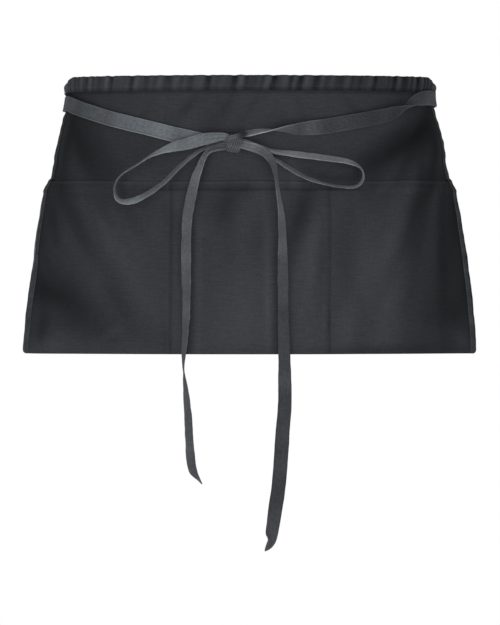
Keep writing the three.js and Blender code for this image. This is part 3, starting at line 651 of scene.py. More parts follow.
def groove(value, place, half, depth):
    return -depth * np.exp(-((value - place) / half) ** 2)


def make_panel():
    rows = rim_stations(TOP_DROP + CLOTH + CLEARANCE, BOTTOM_DROP - CLOTH - CLEARANCE, SHEET_STEP)
    across, drop = np.meshgrid(COLUMNS, rows)
    half = FIRST_FACE * 0.9 * np.minimum(rim_share(rows)[:, None], rim_share(COLUMNS)[None, :])
    uv = np.stack([across, -drop], axis=-1)
    # Painted light on the panel just above the pocket mouth, lifting the shade in the gap behind the pocket's
    # rim.
    painted_light_above_mouth = 0.45 * np.exp(-(((drop - MOUTH_DROP) / 1.8) ** 2))
    wear_and_painted_shade = painted_fold_shading(across, drop) + painted_light_above_mouth
    made = wall("apron_panel", layer(across, drop, half), layer(across, drop, -half), uv, wear_and_painted_shade=wear_and_painted_shade)
    dress(made, TWILL, "panel")
    return made


RELAXED = 0.1  # how much of its full gape a pocket has at rest


def gape(across, drop):
    centre = np.abs(across) < SEAM_OFFSET
    middle = np.where(centre, 0, np.sign(across) * (SEAM_OFFSET + HEM_EDGE) / 2)
    half = np.where(centre, SEAM_OFFSET, (HEM_EDGE - SEAM_OFFSET) / 2)
    beside = np.minimum(1, np.abs(across - middle) / half)
    down = np.clip((drop - MOUTH_DROP) / POCKET_DEPTH, 0, 1)
    return RELAXED * POCKET_GAPE * np.cos(beside * math.pi / 2) ** 1.6 * (1 - down**1.8)


def seam_relief(across, drop):
    """The two seams between the pockets pull the cloth into a furrow with small puckers."""
    total = np.zeros(np.broadcast(across, drop).shape)
    for side in (-1, 1):
        off = across - side * SEAM_OFFSET
        wave = ripple(drop, side, (23, 11.5, 7.1), (0.3, 0.35, 0.25))
        total += groove(off, 0, 1.7, 0.75)
        total += wave * 0.35 * np.exp(-((np.abs(off) - 3.2) / 2.6) ** 2)
        total += 0.35 * np.exp(-((np.abs(off) - 3.6) / 2.0) ** 2)
    return total


def make_pocket():
    top = MOUTH_DROP
    turn_down = 3.0
    down_rows = rim_stations(top, BOTTOM_DROP - CLOTH, SHEET_STEP, 0.45)[:-4]
    hem_rows = np.array([MOUTH_FOOT - 2.4, MOUTH_FOOT - 1.6, MOUTH_FOOT - 0.8, MOUTH_FOOT, MOUTH_FOOT + 0.7])
    down_rows = np.unique(np.round(np.concatenate([down_rows, hem_rows]), 3))
    across, drop = np.meshgrid(COLUMNS, down_rows)
    hem = 1 - smooth((drop - MOUTH_FOOT - 0.1) / 1.8)
    towards_middle = 1 - 0.9 * smooth((np.abs(across) - 90) / 60)
    stitched = groove(drop, MOUTH_FOOT - 1.4, 0.8, 0.55) * towards_middle
    wrinkled = ripple(across, 1.3, (17, 9.3, 5.9), (0.22, 0.25, 0.15)) * bump((drop - MOUTH_FOOT + 1) / 7)
    stand = gape(across, drop)
    rim = np.minimum(1, 0.3 + np.sqrt(np.clip((drop - top) / 0.9, 0, 1)))
    thick = (CLOTH + MOUTH_HEM_THICKNESS * hem) * rim
    middle = POCKET_BACK + (CLOTH + MOUTH_HEM_THICKNESS * hem) / 2 + stand
    surface_relief = seam_relief(across, drop) * smooth((drop - top) / 2)
    flatness = smooth((BOTTOM_DROP - drop) / 12)
    outer = middle + thick / 2 + (stitched + wrinkled + surface_relief) * flatness
    inner = middle - thick / 2 + np.maximum(0, 0.5 * wrinkled * flatness)
    front, back = [layer(across, drop, outer)], [layer(across, drop, inner)]
    uv = [np.stack([across, -drop], axis=-1)]
    # The pocket's tint is painted light and shade: painted shade along the seam furrows and the mouth hem's
    # stitch line, painted light on the mouth's rounded top and on the stitch line towards the sides.
    seams = sum(np.exp(-(((across - side * SEAM_OFFSET) / 1.6) ** 2)) for side in (-1, 1))
    tint = painted_fold_shading(across, drop) - 0.3 * seams * smooth((drop - top) / 2)
    tint -= 0.16 * towards_middle * np.exp(-(((drop - MOUTH_FOOT + 1.2) / 1.8) ** 2))
    tint -= 0.1 * towards_middle * bump((drop - MOUTH_FOOT + 2) / 7)
    tint += 0.5 * np.exp(-(((drop - top) / 0.9) ** 2))
    tint += 0.12 * (1 - towards_middle) * np.exp(-(((drop - MOUTH_FOOT + 1.2) / 1.8) ** 2))
    wear_and_painted_shade = [tint]
    # the fold under the panel, a half round
    for k in range(1, 9):
        angle = math.pi * k / 8
        mid = (POCKET_FRONT - FIRST_FACE) / 2
        radius = (POCKET_FRONT + FIRST_FACE) / 2
        cosine, sine = math.cos(angle), math.sin(angle)
        line = COLUMNS[None, :]
        front.append(layer(line, BOTTOM_DROP - CLOTH + CLOTH * sine, mid + radius * cosine))
        back.append(layer(line, BOTTOM_DROP - CLOTH, mid + (radius - CLOTH) * cosine))
        uv.append(np.stack([line, np.full(line.shape, -BOTTOM_DROP - turn_down * k / 8)], axis=-1))
        wear_and_painted_shade.append(tint[-1:])
    made = wall(
        "apron_pockets",
        np.concatenate(front),
        np.concatenate(back),
        np.concatenate(uv),
        wear_and_painted_shade=np.concatenate(wear_and_painted_shade),
    )
    dress(made, POCKET_TWILL, "pocket")
    return made


# Waistband: puffed between its fold and its stitch line, and puckered
BAND_BEND = 1.6


def make_waistband():
    inner = FIRST_FACE + CLEARANCE * 1.5
    outer = inner + CLOTH
    foot = BAND_HEIGHT / 2
    stitch = foot - 1.8
    path = []
    for drop in np.linspace(foot, TOP_DROP + BAND_BEND, 10):
        path.append((-1, drop, outer, inner))
    for k in range(1, 8):
        path.append((math.pi * k / 8, 0, 0, 0))
    for drop in np.linspace(TOP_DROP + BAND_BEND, foot, 14):
        path.append((1, drop, outer, inner))
    across = rim_stations(-HALF_WIDTH, HALF_WIDTH, 1.9)
    ends = rim_share(across)
    faces, backs, uv, wear_and_painted_shade = [], [], [], []
    run = 0.0
    reach = across / HALF_WIDTH
    # The band's tint is painted light and shade: paler on the left and darker on the right, paler at its
    # ends, painted shade in the puckers' dents and painted light on their ridges, and painted shade along the
    # stitch line and under the band's foot.
    painted_shade = -0.11 - 0.36 * reach + 0.25 * reach**2
    paler_ends = 1.1 * smooth(1 - end_distance(across) / 3.2)
    for kind, drop, out, lining in path:
        height_share = min(1, max(0, (foot - drop) / (foot - TOP_DROP))) if kind in (-1, 1) else 1.0
        fine = ripple(across + 1.2 * math.sin(drop / 4), 2.2, (23, 14.3, 9.7, 6.1), (0.5, 0.5, 0.35, 0.1))
        fine = fine * (0.75 + 0.25 * np.sin(across / 31 + 1)) + 0.45 * puckers(across, np.array(foot))
        if kind in (-1, 1):
            fullness = math.sin(math.pi * height_share) ** 0.7
            puff = 0.7 * fullness + groove(drop, stitch, 0.9, 0.4)
            offset = kind * (out + puff + fine * (0.3 + 0.5 * fullness)) * (0.4 + 0.6 * ends)
            faces.append(layer(across, drop, offset))
            backs.append(layer(across, drop, kind * lining * np.minimum(1, ends + 0.2)))
        else:
            cosine, sine = -math.cos(kind), math.sin(kind)
            height = TOP_DROP + BAND_BEND - BAND_BEND * sine - 0.35 * fine
            faces.append(layer(across, height, cosine * outer * (0.4 + 0.6 * ends)))
            inside = TOP_DROP + BAND_BEND - (BAND_BEND - CLOTH) * sine
            backs.append(layer(across, inside, cosine * inner))
        uv.append(np.stack([across, np.full(across.shape, -run)], axis=-1))
        stitched = 0.45 * math.exp(-((drop - stitch) ** 2))
        shadow_at_foot = 0.5 * smooth((drop - foot + 1.2) / 1.2)
        seam = (stitched + shadow_at_foot) * (kind in (-1, 1))
        wear_and_painted_shade.append(painted_shade + paler_ends + 0.95 * np.clip(fine, -0.8, 0.8) * (0.3 + 0.7 * height_share) - seam)
        run += 1.3
    made = wall("apron_waistband", np.array(faces), np.array(backs), np.array(uv), wear_and_painted_shade=np.array(wear_and_painted_shade))
    dress(made, BAND_TWILL, "waistband")
    return made


# Side hem: folded round the edge of the panel and the pocket cloth
# Painted light and shade on the side hems, for how their sideways faces take the light: drop as a share of
# the panel's length, then left and right
HEM_NAMES = ("drop", "left", "right")
HEM_SHADING = [
    (0.0, 1.3, 1.6),
    (0.1, 1.4, 5.0),
    (0.24, 1.8, 5.0),
    (0.33, 2.4, 0.0),
    (0.45, 4.5, -0.8),
    (0.65, 4.5, -0.85),
    (0.72, 0.2, -0.85),
    (0.84, 0.0, -0.7),
    (0.95, 0.9, -0.1),
    (1.0, 0.7, 0.0),
]


def hem_lining(rows):
    """How far out the front of a side hem is lined: over the pocket and its turned mouth."""
    over_pocket = smooth((rows - MOUTH_DROP + 2 * CLOTH) / (1.6 * CLOTH))
    over_mouth = over_pocket * (1 - smooth((rows - MOUTH_FOOT - CLOTH) / 2))
    lining = mix(FIRST_FACE + CLEARANCE, POCKET_FRONT + CLEARANCE, over_pocket)
    return lining + MOUTH_HEM_THICKNESS * over_mouth


def make_side_hem(side, name, node):
    inner = FIRST_FACE + CLEARANCE
    rows = rim_stations(BAND_HEIGHT / 2 + CLEARANCE, BOTTOM_DROP, 2.4)
    near_lining = hem_lining(rows)
    ends = rim_share(rows)
    seed = 5.0 + side
    swell = ripple(rows, seed, (37, 19, 10.5), (0.25, 0.3, 0.28))
    edge_wave = ripple(rows, seed + 2, (43, 21, 11), (0.2, 0.2, 0.15))
    sections = []
    for share in (0.0, 0.05, 0.12, 0.25, 0.4, 0.55, 0.7, 0.85, 0.94):
        sections.append(("near", share))
    for k in range(1, 7):
        sections.append(("rim", math.pi * k / 7))
    for share in (0.94, 0.8, 0.6, 0.4, 0.2, 0.08, 0.0):
        sections.append(("far", share))
    bend = 1.6
    shading_names = ("drop", "left" if side < 0 else "right")
    drops, tints = ([row[HEM_NAMES.index(key)] for row in HEM_SHADING] for key in shading_names)
    painted_shade = np.interp((rows - TOP_DROP) / PANEL_LENGTH, drops, tints)
    faces, backs, uv, wear_and_painted_shade = [], [], [], []
    run = 0.0
    for kind, value in sections:
        edge = 1.0 if kind == "rim" else smooth((value - 0.45) / 0.5)
        # Painted light and shade from the table, strongest on the fold's rim, a little painted light where
        # the hem swells out, and uneven tone.
        wear_and_painted_shade.append(painted_shade * edge + 0.1 * swell + 0.12 * ripple(rows, seed + 7, (53, 27, 12), (0.5, 0.5, 0.4)))
        if kind == "rim":
            middle = (near_lining - inner) / 2
            radius = (near_lining + inner) / 2
            cosine, sine = math.cos(value), math.sin(value)
            across = HALF_WIDTH - bend + (bend + 0.3 * edge_wave) * sine
            face = layer(side * across, rows, middle + (radius + CLOTH) * cosine)
            back = layer(side * (HALF_WIDTH - bend + (bend - CLOTH) * sine), rows, middle + radius * cosine)
        else:
            across = mix(HEM_EDGE, HALF_WIDTH - bend, value)
            stitched = groove(value, 0.16, 0.07, 0.45)
            puff = (0.35 + swell) * math.sin(math.pi * min(1, value * 1.05)) ** 0.8 + stitched
            rolled = 0.45 if value == 0.0 else 1.0
            if kind == "near":
                face = layer(side * across, rows, near_lining + CLOTH * rolled + puff)
                back = layer(side * across, rows, near_lining)
            else:
                face = layer(side * across, rows, -inner - CLOTH * rolled - 0.4 * puff)
                back = layer(side * across, rows, -inner)
        shrink = (1 - ends)[:, None]
        middle_line = (face + back) / 2
        faces.append(mix(face, middle_line, shrink * 0.8))
        backs.append(mix(back, middle_line, shrink * 0.8))
        uv.append(np.stack([np.full(rows.shape, run), -rows], axis=-1))
        run += 1.2
    if side < 0:
        faces, backs, uv, wear_and_painted_shade = faces[::-1], backs[::-1], uv[::-1], wear_and_painted_shade[::-1]
    stack = lambda items: np.stack(items, axis=1)
    made = wall(name, stack(faces), stack(backs), stack(uv), wear_and_painted_shade=stack(wear_and_painted_shade))
    dress(made, HEM_TWILL, node)
    return made


# Tables of the bow and the ties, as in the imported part. right and up are shares of the
# strand's reach from the knot, out of the loops' stand, roll is in degrees with 0 facing
# the front, and wide is a share of the tie's width.
STRAND_NAMES = ("right", "up", "out", "roll", "wide")
LOOP_LEFT_ROWS = [
    (-0.067, 0.044, 0.6, 22, 0.5),
    (-0.15, 0.036, 0.63, 30, 0.75),
    (-0.26, 0.021, 0.7, 33, 1),
    (-0.385, -0.013, 0.78, 38, 1),
    (-0.527, -0.046, 0.95, 54, 1),
    (-0.67, -0.1, 1.09, 78, 1),
    (-0.82, -0.192, 1.14, 86, 1),
    (-0.937, -0.263, 1.17, 88, 1),
    (-0.991, -0.335, 1.19, 90, 1),
    (-0.996, -0.41, 1.21, 94, 1),
    (-0.962, -0.473, 1.22, 104, 1),
    (-0.887, -0.489, 1.22, 115, 1),
    (-0.811, -0.475, 1.22, 117, 1),
    (-0.736, -0.439, 1.21, 110, 1),
    (-0.594, -0.343, 1.11, 107, 1),
    (-0.452, -0.205, 1.07, 107, 0.95),
    (-0.301, -0.084, 0.94, 106, 0.75),
    (-0.184, -0.033, 0.84, 108, 0.6),
    (-0.067, -0.008, 0.74, 112, 0.45),
]
LOOP_RIGHT_ROWS = [
    (0.062, 0.004, 0.38, -40, 0.4),
    (0.138, -0.019, 0.36, -55, 0.45),
    (0.215, -0.046, 0.35, -65, 0.5),
    (0.292, -0.069, 0.41, -68, 0.6),
    (0.385, -0.083, 0.52, -68, 0.85),
    (0.492, -0.096, 0.63, -67, 1),
    (0.646, -0.115, 0.79, -66, 1),
    (0.8, -0.135, 0.9, -67, 1),
    (0.908, -0.156, 0.93, -74, 1),
    (0.969, -0.188, 0.95, -84, 1),
    (0.997, -0.238, 0.95, -90, 1),
    (0.985, -0.296, 0.95, -95, 1),
    (0.939, -0.335, 0.95, -97, 1),
    (0.862, -0.342, 0.93, -98, 1),
    (0.754, -0.331, 0.88, -98, 1),
    (0.646, -0.304, 0.82, -100, 1),
    (0.538, -0.264, 0.75, -104, 0.95),
    (0.431, -0.204, 0.5, -110, 0.8),
    (0.346, -0.15, 0.35, -112, 0.6),
    (0.262, -0.108, 0.35, -115, 0.5),
    (0.162, -0.065, 0.31, -125, 0.4),
    (0.062, -0.034, 0.31, -135, 0.35),
]
TAIL_LEFT_ROWS = [
    (-0.024, -0.017, 0.5, 40, 0.45),
    (-0.051, -0.0195, 0.5, 46, 0.5),
    (-0.075, -0.028, 0.52, 54, 0.55),
    (-0.091, -0.048, 0.54, 57, 0.7),
    (-0.104, -0.081, 0.57, 55, 0.9),
    (-0.116, -0.116, 0.6, 52, 1),
    (-0.128, -0.17, 0.64, 48, 1),
    (-0.138, -0.23, 0.66, 50, 1),
    (-0.141, -0.305, 0.68, 50, 1),
    (-0.141, -0.379, 0.68, 51, 1),
    (-0.14, -0.469, 0.68, 58, 1),
    (-0.143, -0.558, 0.66, 66, 1),
    (-0.148, -0.624, 0.63, 73, 1),
    (-0.15, -0.666, 0.6, 84, 1),
    (-0.146, -0.708, 0.58, 100, 1),
    (-0.14, -0.767, 0.56, 112, 1),
    (-0.135, -0.827, 0.54, 118, 1),
    (-0.132, -0.887, 0.52, 122, 1),
    (-0.127, -0.947, 0.52, 123, 1),
    (-0.12, -0.982, 0.6, 118, 1),
    (-0.102, -1.008, 0.85, 92, 1),
]
TAIL_RIGHT_ROWS = [
    (0.0195, -0.007, 0.62, -30, 0.6),
    (0.039, -0.011, 0.7, -36, 0.7),
    (0.059, -0.017, 0.8, -44, 0.8),
    (0.079, -0.03, 0.9, -53, 0.9),
    (0.094, -0.049, 1.02, -62, 0.95),
    (0.102, -0.077, 1.05, -74, 1),
    (0.106, -0.111, 1.03, -78, 1),
    (0.112, -0.148, 0.98, -73, 1),
    (0.117, -0.19, 0.9, -65, 1),
    (0.119, -0.239, 0.87, -57, 1),
    (0.12, -0.301, 0.82, -49, 1),
    (0.121, -0.375, 0.77, -47, 1),
    (0.122, -0.449, 0.71, -46, 1),
    (0.124, -0.523, 0.65, -38, 1),
    (0.125, -0.585, 0.6, -32, 1),
    (0.125, -0.647, 0.56, -27, 1),
    (0.12, -0.708, 0.53, -23, 1),
    (0.116, -0.77, 0.5, -22, 1),
    (0.11, -0.844, 0.47, -22, 1),
    (0.101, -0.906, 0.46, -25, 1),
    (0.094, -0.955, 0.48, -32, 1),
    (0.089, -0.98, 0.65, -48, 1),
    (0.081, -0.989, 0.98, -62, 1),
]

# run goes from 0 at the side edge to 1 at the knot, sag is a share of the drop between
# them, and out a share of the knot's stand.
TIE_NAMES = ("run", "sag", "out", "roll", "wide")
TIE_LEFT_ROWS = [
    (0.03, -0.03, 0.47, -5, 1),
    (0.11, -0.12, 0.43, -8, 1),
    (0.18, -0.12, 0.42, -6, 1),
    (0.27, -0.12, 0.42, -4, 1),
    (0.35, -0.115, 0.4, -8, 1),
    (0.475, -0.09, 0.4, -10, 1),
    (0.58, -0.075, 0.4, -10, 1),
    (0.68, -0.06, 0.38, -10, 1),
    (0.78, -0.035, 0.38, -8, 1),
    (0.855, -0.035, 0.38, -4, 0.95),
    (0.925, -0.06, 0.46, 0, 0.75),
    (1.003, -0.095, 0.7, 0, 0.5),
]
TIE_RIGHT_ROWS = [
    (0.03, -0.049, 0.48, 6, 1),
    (0.115, -0.135, 0.44, 6, 1),
    (0.175, -0.178, 0.5, 8, 1),
    (0.22, -0.196, 0.6, 25, 1),
    (0.265, -0.184, 0.8, 42, 1),
    (0.295, -0.148, 0.85, 60, 1),
    (0.325, -0.072, 0.9, 88, 0.9),
    (0.345, -0.036, 0.85, 112, 0.95),
    (0.37, 0.005, 0.75, 130, 1),
    (0.4, 0.031, 0.6, 145, 1),
    (0.445, 0.053, 0.5, 160, 1),
    (0.505, 0.07, 0.42, 170, 1),
    (0.575, 0.08, 0.4, 175, 1),
    (0.64, 0.09, 0.4, 175, 1),
    (0.695, 0.1, 0.42, 172, 1),
    (0.75, 0.085, 0.48, 160, 1),
    (0.795, 0.065, 0.68, 140, 1),
    (0.83, 0.04, 0.84, 118, 1),
    (0.87, 0.015, 0.86, 98, 0.9),
    (0.905, 0, 0.8, 80, 0.8),
    (0.94, 0, 0.7, 64, 0.7),
    (1.002, 0.015, 0.72, 52, 0.6),
]


def column(table, names, name, place):
    """Catmull-Rom values of one column at places counted in rows."""
    values = np.array([row[names.index(name)] for row in table], float)
    last = len(values) - 1
    index = np.clip(np.floor(place).astype(int), 0, last - 1)
    share = place - index
    a, b, c, d = (values[np.clip(index + k, 0, last)] for k in (-1, 0, 1, 2))
    return b + 0.5 * share * (c - a + share * (2 * a - 5 * b + 4 * c - d + share * (3 * (b - c) + d - a)))


def panel_behind(x, z):
    """y of the panel's middle surface straight behind a point."""
    low = np.full(np.shape(x), -HALF_WIDTH)
    high = np.full(np.shape(x), HALF_WIDTH)
    drop = np.minimum(-z, BOTTOM_DROP)
    for _ in range(26):
        middle = (low + high) / 2
        left = surface(middle, drop, False)[..., 0] < x
        low, high = np.where(left, middle, low), np.where(left, high, middle)
    middle = (low + high) / 2
    return (surface(middle, drop, False) - ridges(FOLDS, middle, drop)[..., None] * [0, 1, 0])[..., 1]


BEHIND_KNOT = float(panel_behind(np.array(KNOT_ACROSS), np.array(-KNOT_DROP)))
KNOT = np.array([KNOT_ACROSS, BEHIND_KNOT - KNOT_OUT, -KNOT_DROP])


class Line:
    """A tape's middle line: points, the way its face looks at roll 0, roll and width."""

    def __init__(self, points, looks, roll, width):
        self.points, self.looks, self.roll, self.width = points, looks, roll, width

    def length(self):
        return float(np.linalg.norm(np.diff(self.points, axis=0), axis=1).sum())

    def even(self, step, soften=2.5):
        """The same line at even steps, with kinks shorter than soften smoothed out."""
        walked = np.concatenate([[0], np.cumsum(np.linalg.norm(np.diff(self.points, axis=0), axis=1))])
        count = max(4, round(walked[-1] / step))
        places = np.linspace(0, walked[-1], count + 1)
        pick = lambda values: np.interp(places, walked, values)
        points = np.stack([pick(self.points[:, k]) for k in range(3)], axis=1)
        looks = np.stack([pick(self.looks[:, k]) for k in range(3)], axis=1)
        roll, width = pick(self.roll), pick(self.width)
        reach = int(3 * soften / step)
        kernel = np.exp(-0.5 * (np.arange(-reach, reach + 1) * step / soften) ** 2)
        kernel /= kernel.sum()

        def soft(values):
            start = 2 * values[0] - values[1 : reach + 1][::-1]
            end = 2 * values[-1] - values[-reach - 1 : -1][::-1]
            return np.convolve(np.concatenate([start, values, end]), kernel, mode="valid")

        points = np.stack([soft(points[:, k]) for k in range(3)], axis=1)
        looks = np.stack([soft(looks[:, k]) for k in range(3)], axis=1)
        return Line(points, unit(looks), soft(roll), soft(width))


def frames(line):
    """Direction, face and upper edge of a tape at each point of its line."""
    along = unit(np.gradient(line.points, axis=0))
    looks = unit(line.looks - along * (line.looks * along).sum(1, keepdims=True))
    beside = np.cross(along, looks)
    roll = np.radians(line.roll)[:, None]
    face = looks * np.cos(roll) + beside * np.sin(roll)
    return along, face, np.cross(face, along)


# Painted light and shade along each tape, for how its faces turn to the light: how much paler or darker than
# its cloth it is painted. Columns: distance from the knot, or from a loop's upper end, in mm, and the tint
TIE_LEFT_SHADING = [(0, 0.4), (60, 0.6), (120, 0.75), (140, 0.4), (165, 0.05)]
TIE_RIGHT_SHADING = [
    (0, -0.6),
    (8, -0.5),
    (13, 1.1),
    (28, 1.7),
    (40, 0.9),
    (55, 0.0),
    (68, -0.3),
    (80, -0.15),
    (92, -0.3),
    (110, -0.45),
    (140, -0.55),
    (200, -0.55),
    (222, -0.3),
    (245, -0.2),
]
LOOP_LEFT_SHADING = [
    (0, 0.6),
    (30, 0.9),
    (50, 1.3),
    (75, 2.3),
    (90, 1.5),
    (120, 0.75),
    (150, 0.8),
    (165, 1.8),
    (182, 2.1),
    (210, 0.9),
    (240, 0.5),
    (255, 0.8),
    (272, -0.15),
    (300, -0.1),
]
LOOP_RIGHT_SHADING = [
    (0, 1.0),
    (15, 1.7),
    (30, 1.2),
    (48, 2.2),
    (120, 2.3),
    (135, 1.1),
    (155, 1.3),
    (180, 0.9),
    (240, 0.8),
    (270, 1.1),
    (297, 0.9),
]
TAIL_LEFT_SHADING = [
    (0, 0.2),
    (15, 0.5),
    (32, 1.0),
    (60, 0.9),
    (80, 0.5),
    (110, 0.3),
    (160, 0.35),
    (200, 0.15),
    (378, 0.3),
]
TAIL_RIGHT_SHADING = [
    (0, 0.2),
    (15, 1.0),
    (32, 0.5),
    (45, 0.1),
    (60, 0.5),
    (90, 0.7),
    (120, 0.3),
    (138, 0.4),
    (152, 0.0),
    (180, -0.25),
    (260, -0.35),
    (340, -0.48),
    (420, -0.45),
    (440, -0.1),
]
# The ties' folded edges are worn pale and also carry a painted highlight; the bow's edges are painted darker,
# as painted shade against the light they catch.
TIE_EDGE_WEAR_AND_HIGHLIGHT = 0.5  # the ties' folded edges are worn pale
BOW_EDGE_SHADE = -0.15


def tape_mesh(
    name, line, seed, painted_shading, backwards=False, stitched_edge=-1, thickness=TIE_THICKNESS, cup=0.5, wave=0.5
):
    """A folded tape: rounded edges, one of them top-stitched, with slack, cupping and gathers."""
    along, face, edge = frames(line)
    walked = np.concatenate([[0], np.cumsum(np.linalg.norm(np.diff(line.points, axis=0), axis=1))])
    half = line.width / 2
    gathered = np.clip(1 - line.width / TIE_WIDTH, 0, 1)
    half_spots = [0.25, 0.45, 0.62, 0.76, 0.86, 0.94, 0.985, 1]
    spots = np.array([-spot for spot in half_spots[::-1]] + [0] + half_spots)
    fronts, backs, uv, wear_and_painted_shade = [], [], [], []
    cloudy = ripple(walked, seed + 9, (83, 47, 29), (0.08, 0.07, 0.05))
    edge_wear_and_shade = TIE_EDGE_WEAR_AND_HIGHLIGHT if backwards else BOW_EDGE_SHADE
    distance = walked[-1] - walked if backwards else walked
    shade = np.interp(distance, [row[0] for row in painted_shading], [row[1] for row in painted_shading])
    for spot in spots:
        rim = math.exp(-(((abs(spot) - 0.99) / 0.1) ** 2))
        mottled = ripple(walked + 30 * spot, seed, (13, 7.3), (0.08, 0.08))
        wear_and_painted_shade.append((1 + shade) * (1 + edge_wear_and_shade * rim + cloudy + mottled) - 1)
        body = thickness / 2 * (1 - abs(spot) ** 7) ** 0.5
        body = max(body, 0.12 * thickness)
        ridge = 0.12 * np.exp(-((spot - stitched_edge * 0.9) / 0.07) ** 2)
        dent = 0.24 * np.exp(-((spot - stitched_edge * 0.76) / 0.05) ** 2)
        slack = wave * 0.5 * spot * ripple(walked, seed, (61, 33, 19), (0.6, 0.5, 0.35))
        slack = slack + 0.25 * wave * (spot**2) * ripple(walked, seed + 4, (27, 14.5, 8.5), (0.6, 0.6, 0.4))
        bow = cup * (spot**2 - 0.3) * (0.6 + 0.4 * np.sin(walked / 47 + seed))
        pleat = gathered * (1.3 * np.cos(math.pi * 2.6 * spot + seed) + 0.5 * np.sin(math.pi * 5.1 * spot))
        middle = line.points + edge * (half * spot)[:, None]
        lift = slack + bow + pleat
        fronts.append(middle + face * (lift + body + ridge - dent)[:, None])
        backs.append(middle + face * (lift - body - 0.5 * (ridge - dent))[:, None])
        uv.append(np.stack([walked, spot * TIE_WIDTH / 2 * np.ones(len(walked))], axis=-1))
        if spot == -0.76:
            seam = (middle + face * (lift + body - 0.1)[:, None], face)
    # rows run from the upper edge to the lower one
    stack = lambda items: np.array(items[::-1])
    return wall(name, stack(fronts), stack(backs), stack(uv), sharp=70, wear_and_painted_shade=stack(wear_and_painted_shade)), seam


def bow_line(table, reach, ends=()):
    place = np.linspace(0, len(table) - 1, 500)
    get = lambda name: column(table, STRAND_NAMES, name, place)
    x = KNOT[0] + get("right") * reach
    z = KNOT[2] + get("up") * reach
    y = panel_behind(x, z) - get("out") * LOOP_STAND
    points = np.stack([x, y, z], axis=1)
    looks = np.tile([0.0, -1.0, 0.0], (len(place), 1))
    line = Line(points, looks, get("roll"), get("wide") * TIE_WIDTH)
    return draw_in(line, ends)


def draw_in(line, ends):
    """Carries a strand's ends on into the knot."""
    for end, inside in ends:
        mouth = KNOT + np.array(inside)
        first = end == 0
        tip = line.points[0] if first else line.points[-1]
        steps = np.linspace(0, 1, 8)[1:, None]
        extra = tip + (mouth - tip) * steps
        rep = lambda values: np.repeat(values[:1] if first else values[-1:], len(extra), axis=0)
        join = (lambda a, b: np.concatenate([b[::-1], a])) if first else (lambda a, b: np.concatenate([a, b]))
        line = Line(
            join(line.points, extra),
            join(line.looks, rep(line.looks)),
            join(line.roll, rep(line.roll)),
            join(line.width, rep(line.width)),
        )
    return line


ARRIVAL_LEFT = 16.5
ARRIVAL_RIGHT = 11.5


def tie_line(side, table, arrival_drop, stands_off_at, knot_up, inside):
    start = surface(-side * (HALF_WIDTH - 2.0), 0.0, False)
    arrival = surface(side * HALF_WIDTH, arrival_drop + SIDE_RISE, False)
    half = BACK_DEPTH - start[1]
    share = np.linspace(0, 0.985, 240)
    angle = math.pi * share
    sink = smooth((share - 0.4) / 0.2)
    reach = mix(abs(start[0]), abs(arrival[0]), sink)
    offset = REST_OUT * smooth((share - stands_off_at) / 0.25)
    looks = unit(np.stack([-side * np.cos(angle) * half, np.sin(angle) * reach, 0 * share], axis=1))
    points = np.stack(
        [
            -side * np.cos(angle) * reach,
            mix(start[1], arrival[1], share) + np.sin(angle) * half,
            mix(start[2], -arrival_drop, sink),
        ],
        axis=1,
    ) + looks * offset[:, None]
    place = np.linspace(0, len(table) - 1, 300)
    get = lambda name: column(table, TIE_NAMES, name, place)
    knot_end = KNOT_ACROSS + side * (KNOT_LENGTH / 2 + 3 * CLEARANCE)
    across = mix(side * HALF_WIDTH, knot_end, get("run"))
    low = KNOT_DROP - knot_up
    level = mix(arrival_drop, low, get("run")) + get("sag") * (low - arrival_drop)
    drop = level + SIDE_RISE * (across / HALF_WIDTH) ** 2
    under = [ridges(FOLDS, across, drop + i * TIE_WIDTH / 2) for i in (-1, 0, 1)]
    lift = np.maximum(REST_OUT, get("out") * KNOT_OUT) + np.maximum(0, np.max(under, axis=0))
    front_looks = outward(across, drop, False)
    front = surface(across, drop, False) + front_looks * lift[:, None]
    line = Line(
        np.concatenate([points, front]),
        np.concatenate([looks, front_looks]),
        np.concatenate([np.zeros(len(share)), get("roll")]),
        np.concatenate([np.full(len(share), TIE_WIDTH), get("wide") * TIE_WIDTH]),
    )
    return draw_in(line, [(1, inside)])


def add_tape(name, node, line, seed, painted_shading, material=None):
    even = line.even(TAPE_STEP)
    made, seam = tape_mesh(name, even, seed, painted_shading, "tie" in node)
    dress(made, material or TAPE_TWILL, node)
    even.length() / METRE
    return seam


# Knot: a turn of tape drawn tight round the strands, gathered into slanted pleats
KNOT_PLEATS = 6.5
KNOT_SLANT = 0.36
KNOT_LEAN = 0.16
KNOT_SHIFT = np.array([0.6, 0.0, -1.6])


def knot_shell(rings, around, scale, depth):
    turns = 2 * math.pi * np.arange(around) / around
    share, angle = np.meshgrid(np.linspace(0, 1, rings), turns, indexing="ij")
    end = 2 * share - 1
    along = (share - 0.5) * KNOT_LENGTH
    shoulder = np.sqrt(1 - (0.55 * end * end) ** 2)
    phase = 2 * math.pi * KNOT_PLEATS * (share + 0.025 * np.sin(2 * angle + 1) + 0.02 * np.sin(9 * share))
    strength = 0.75 + 0.25 * np.sin(3 * angle + 5 * share)
    pleat = 1 + depth * (np.abs(np.cos(phase / 2)) ** 0.7 - 0.6) * strength
    up = np.cos(angle) * KNOT_HEIGHT / 2 * shoulder * pleat * scale
    out = np.sin(angle) * KNOT_THICKNESS / 2 * shoulder * pleat * scale
    slanted = along + KNOT_SLANT * up * (1 - 0.4 * end**2)
    points = np.stack([slanted, -out, up - KNOT_LEAN * along], axis=-1)
    # The pleats are painted darker in their grooves and paler on their ridges, as painted shade and light.
    wear_and_painted_shade = 0.6 * (np.abs(np.cos(phase / 2)) ** 0.7 - 0.8) + 0.1 * np.sin(7 * angle)
    return points + KNOT + KNOT_SHIFT, wear_and_painted_shade


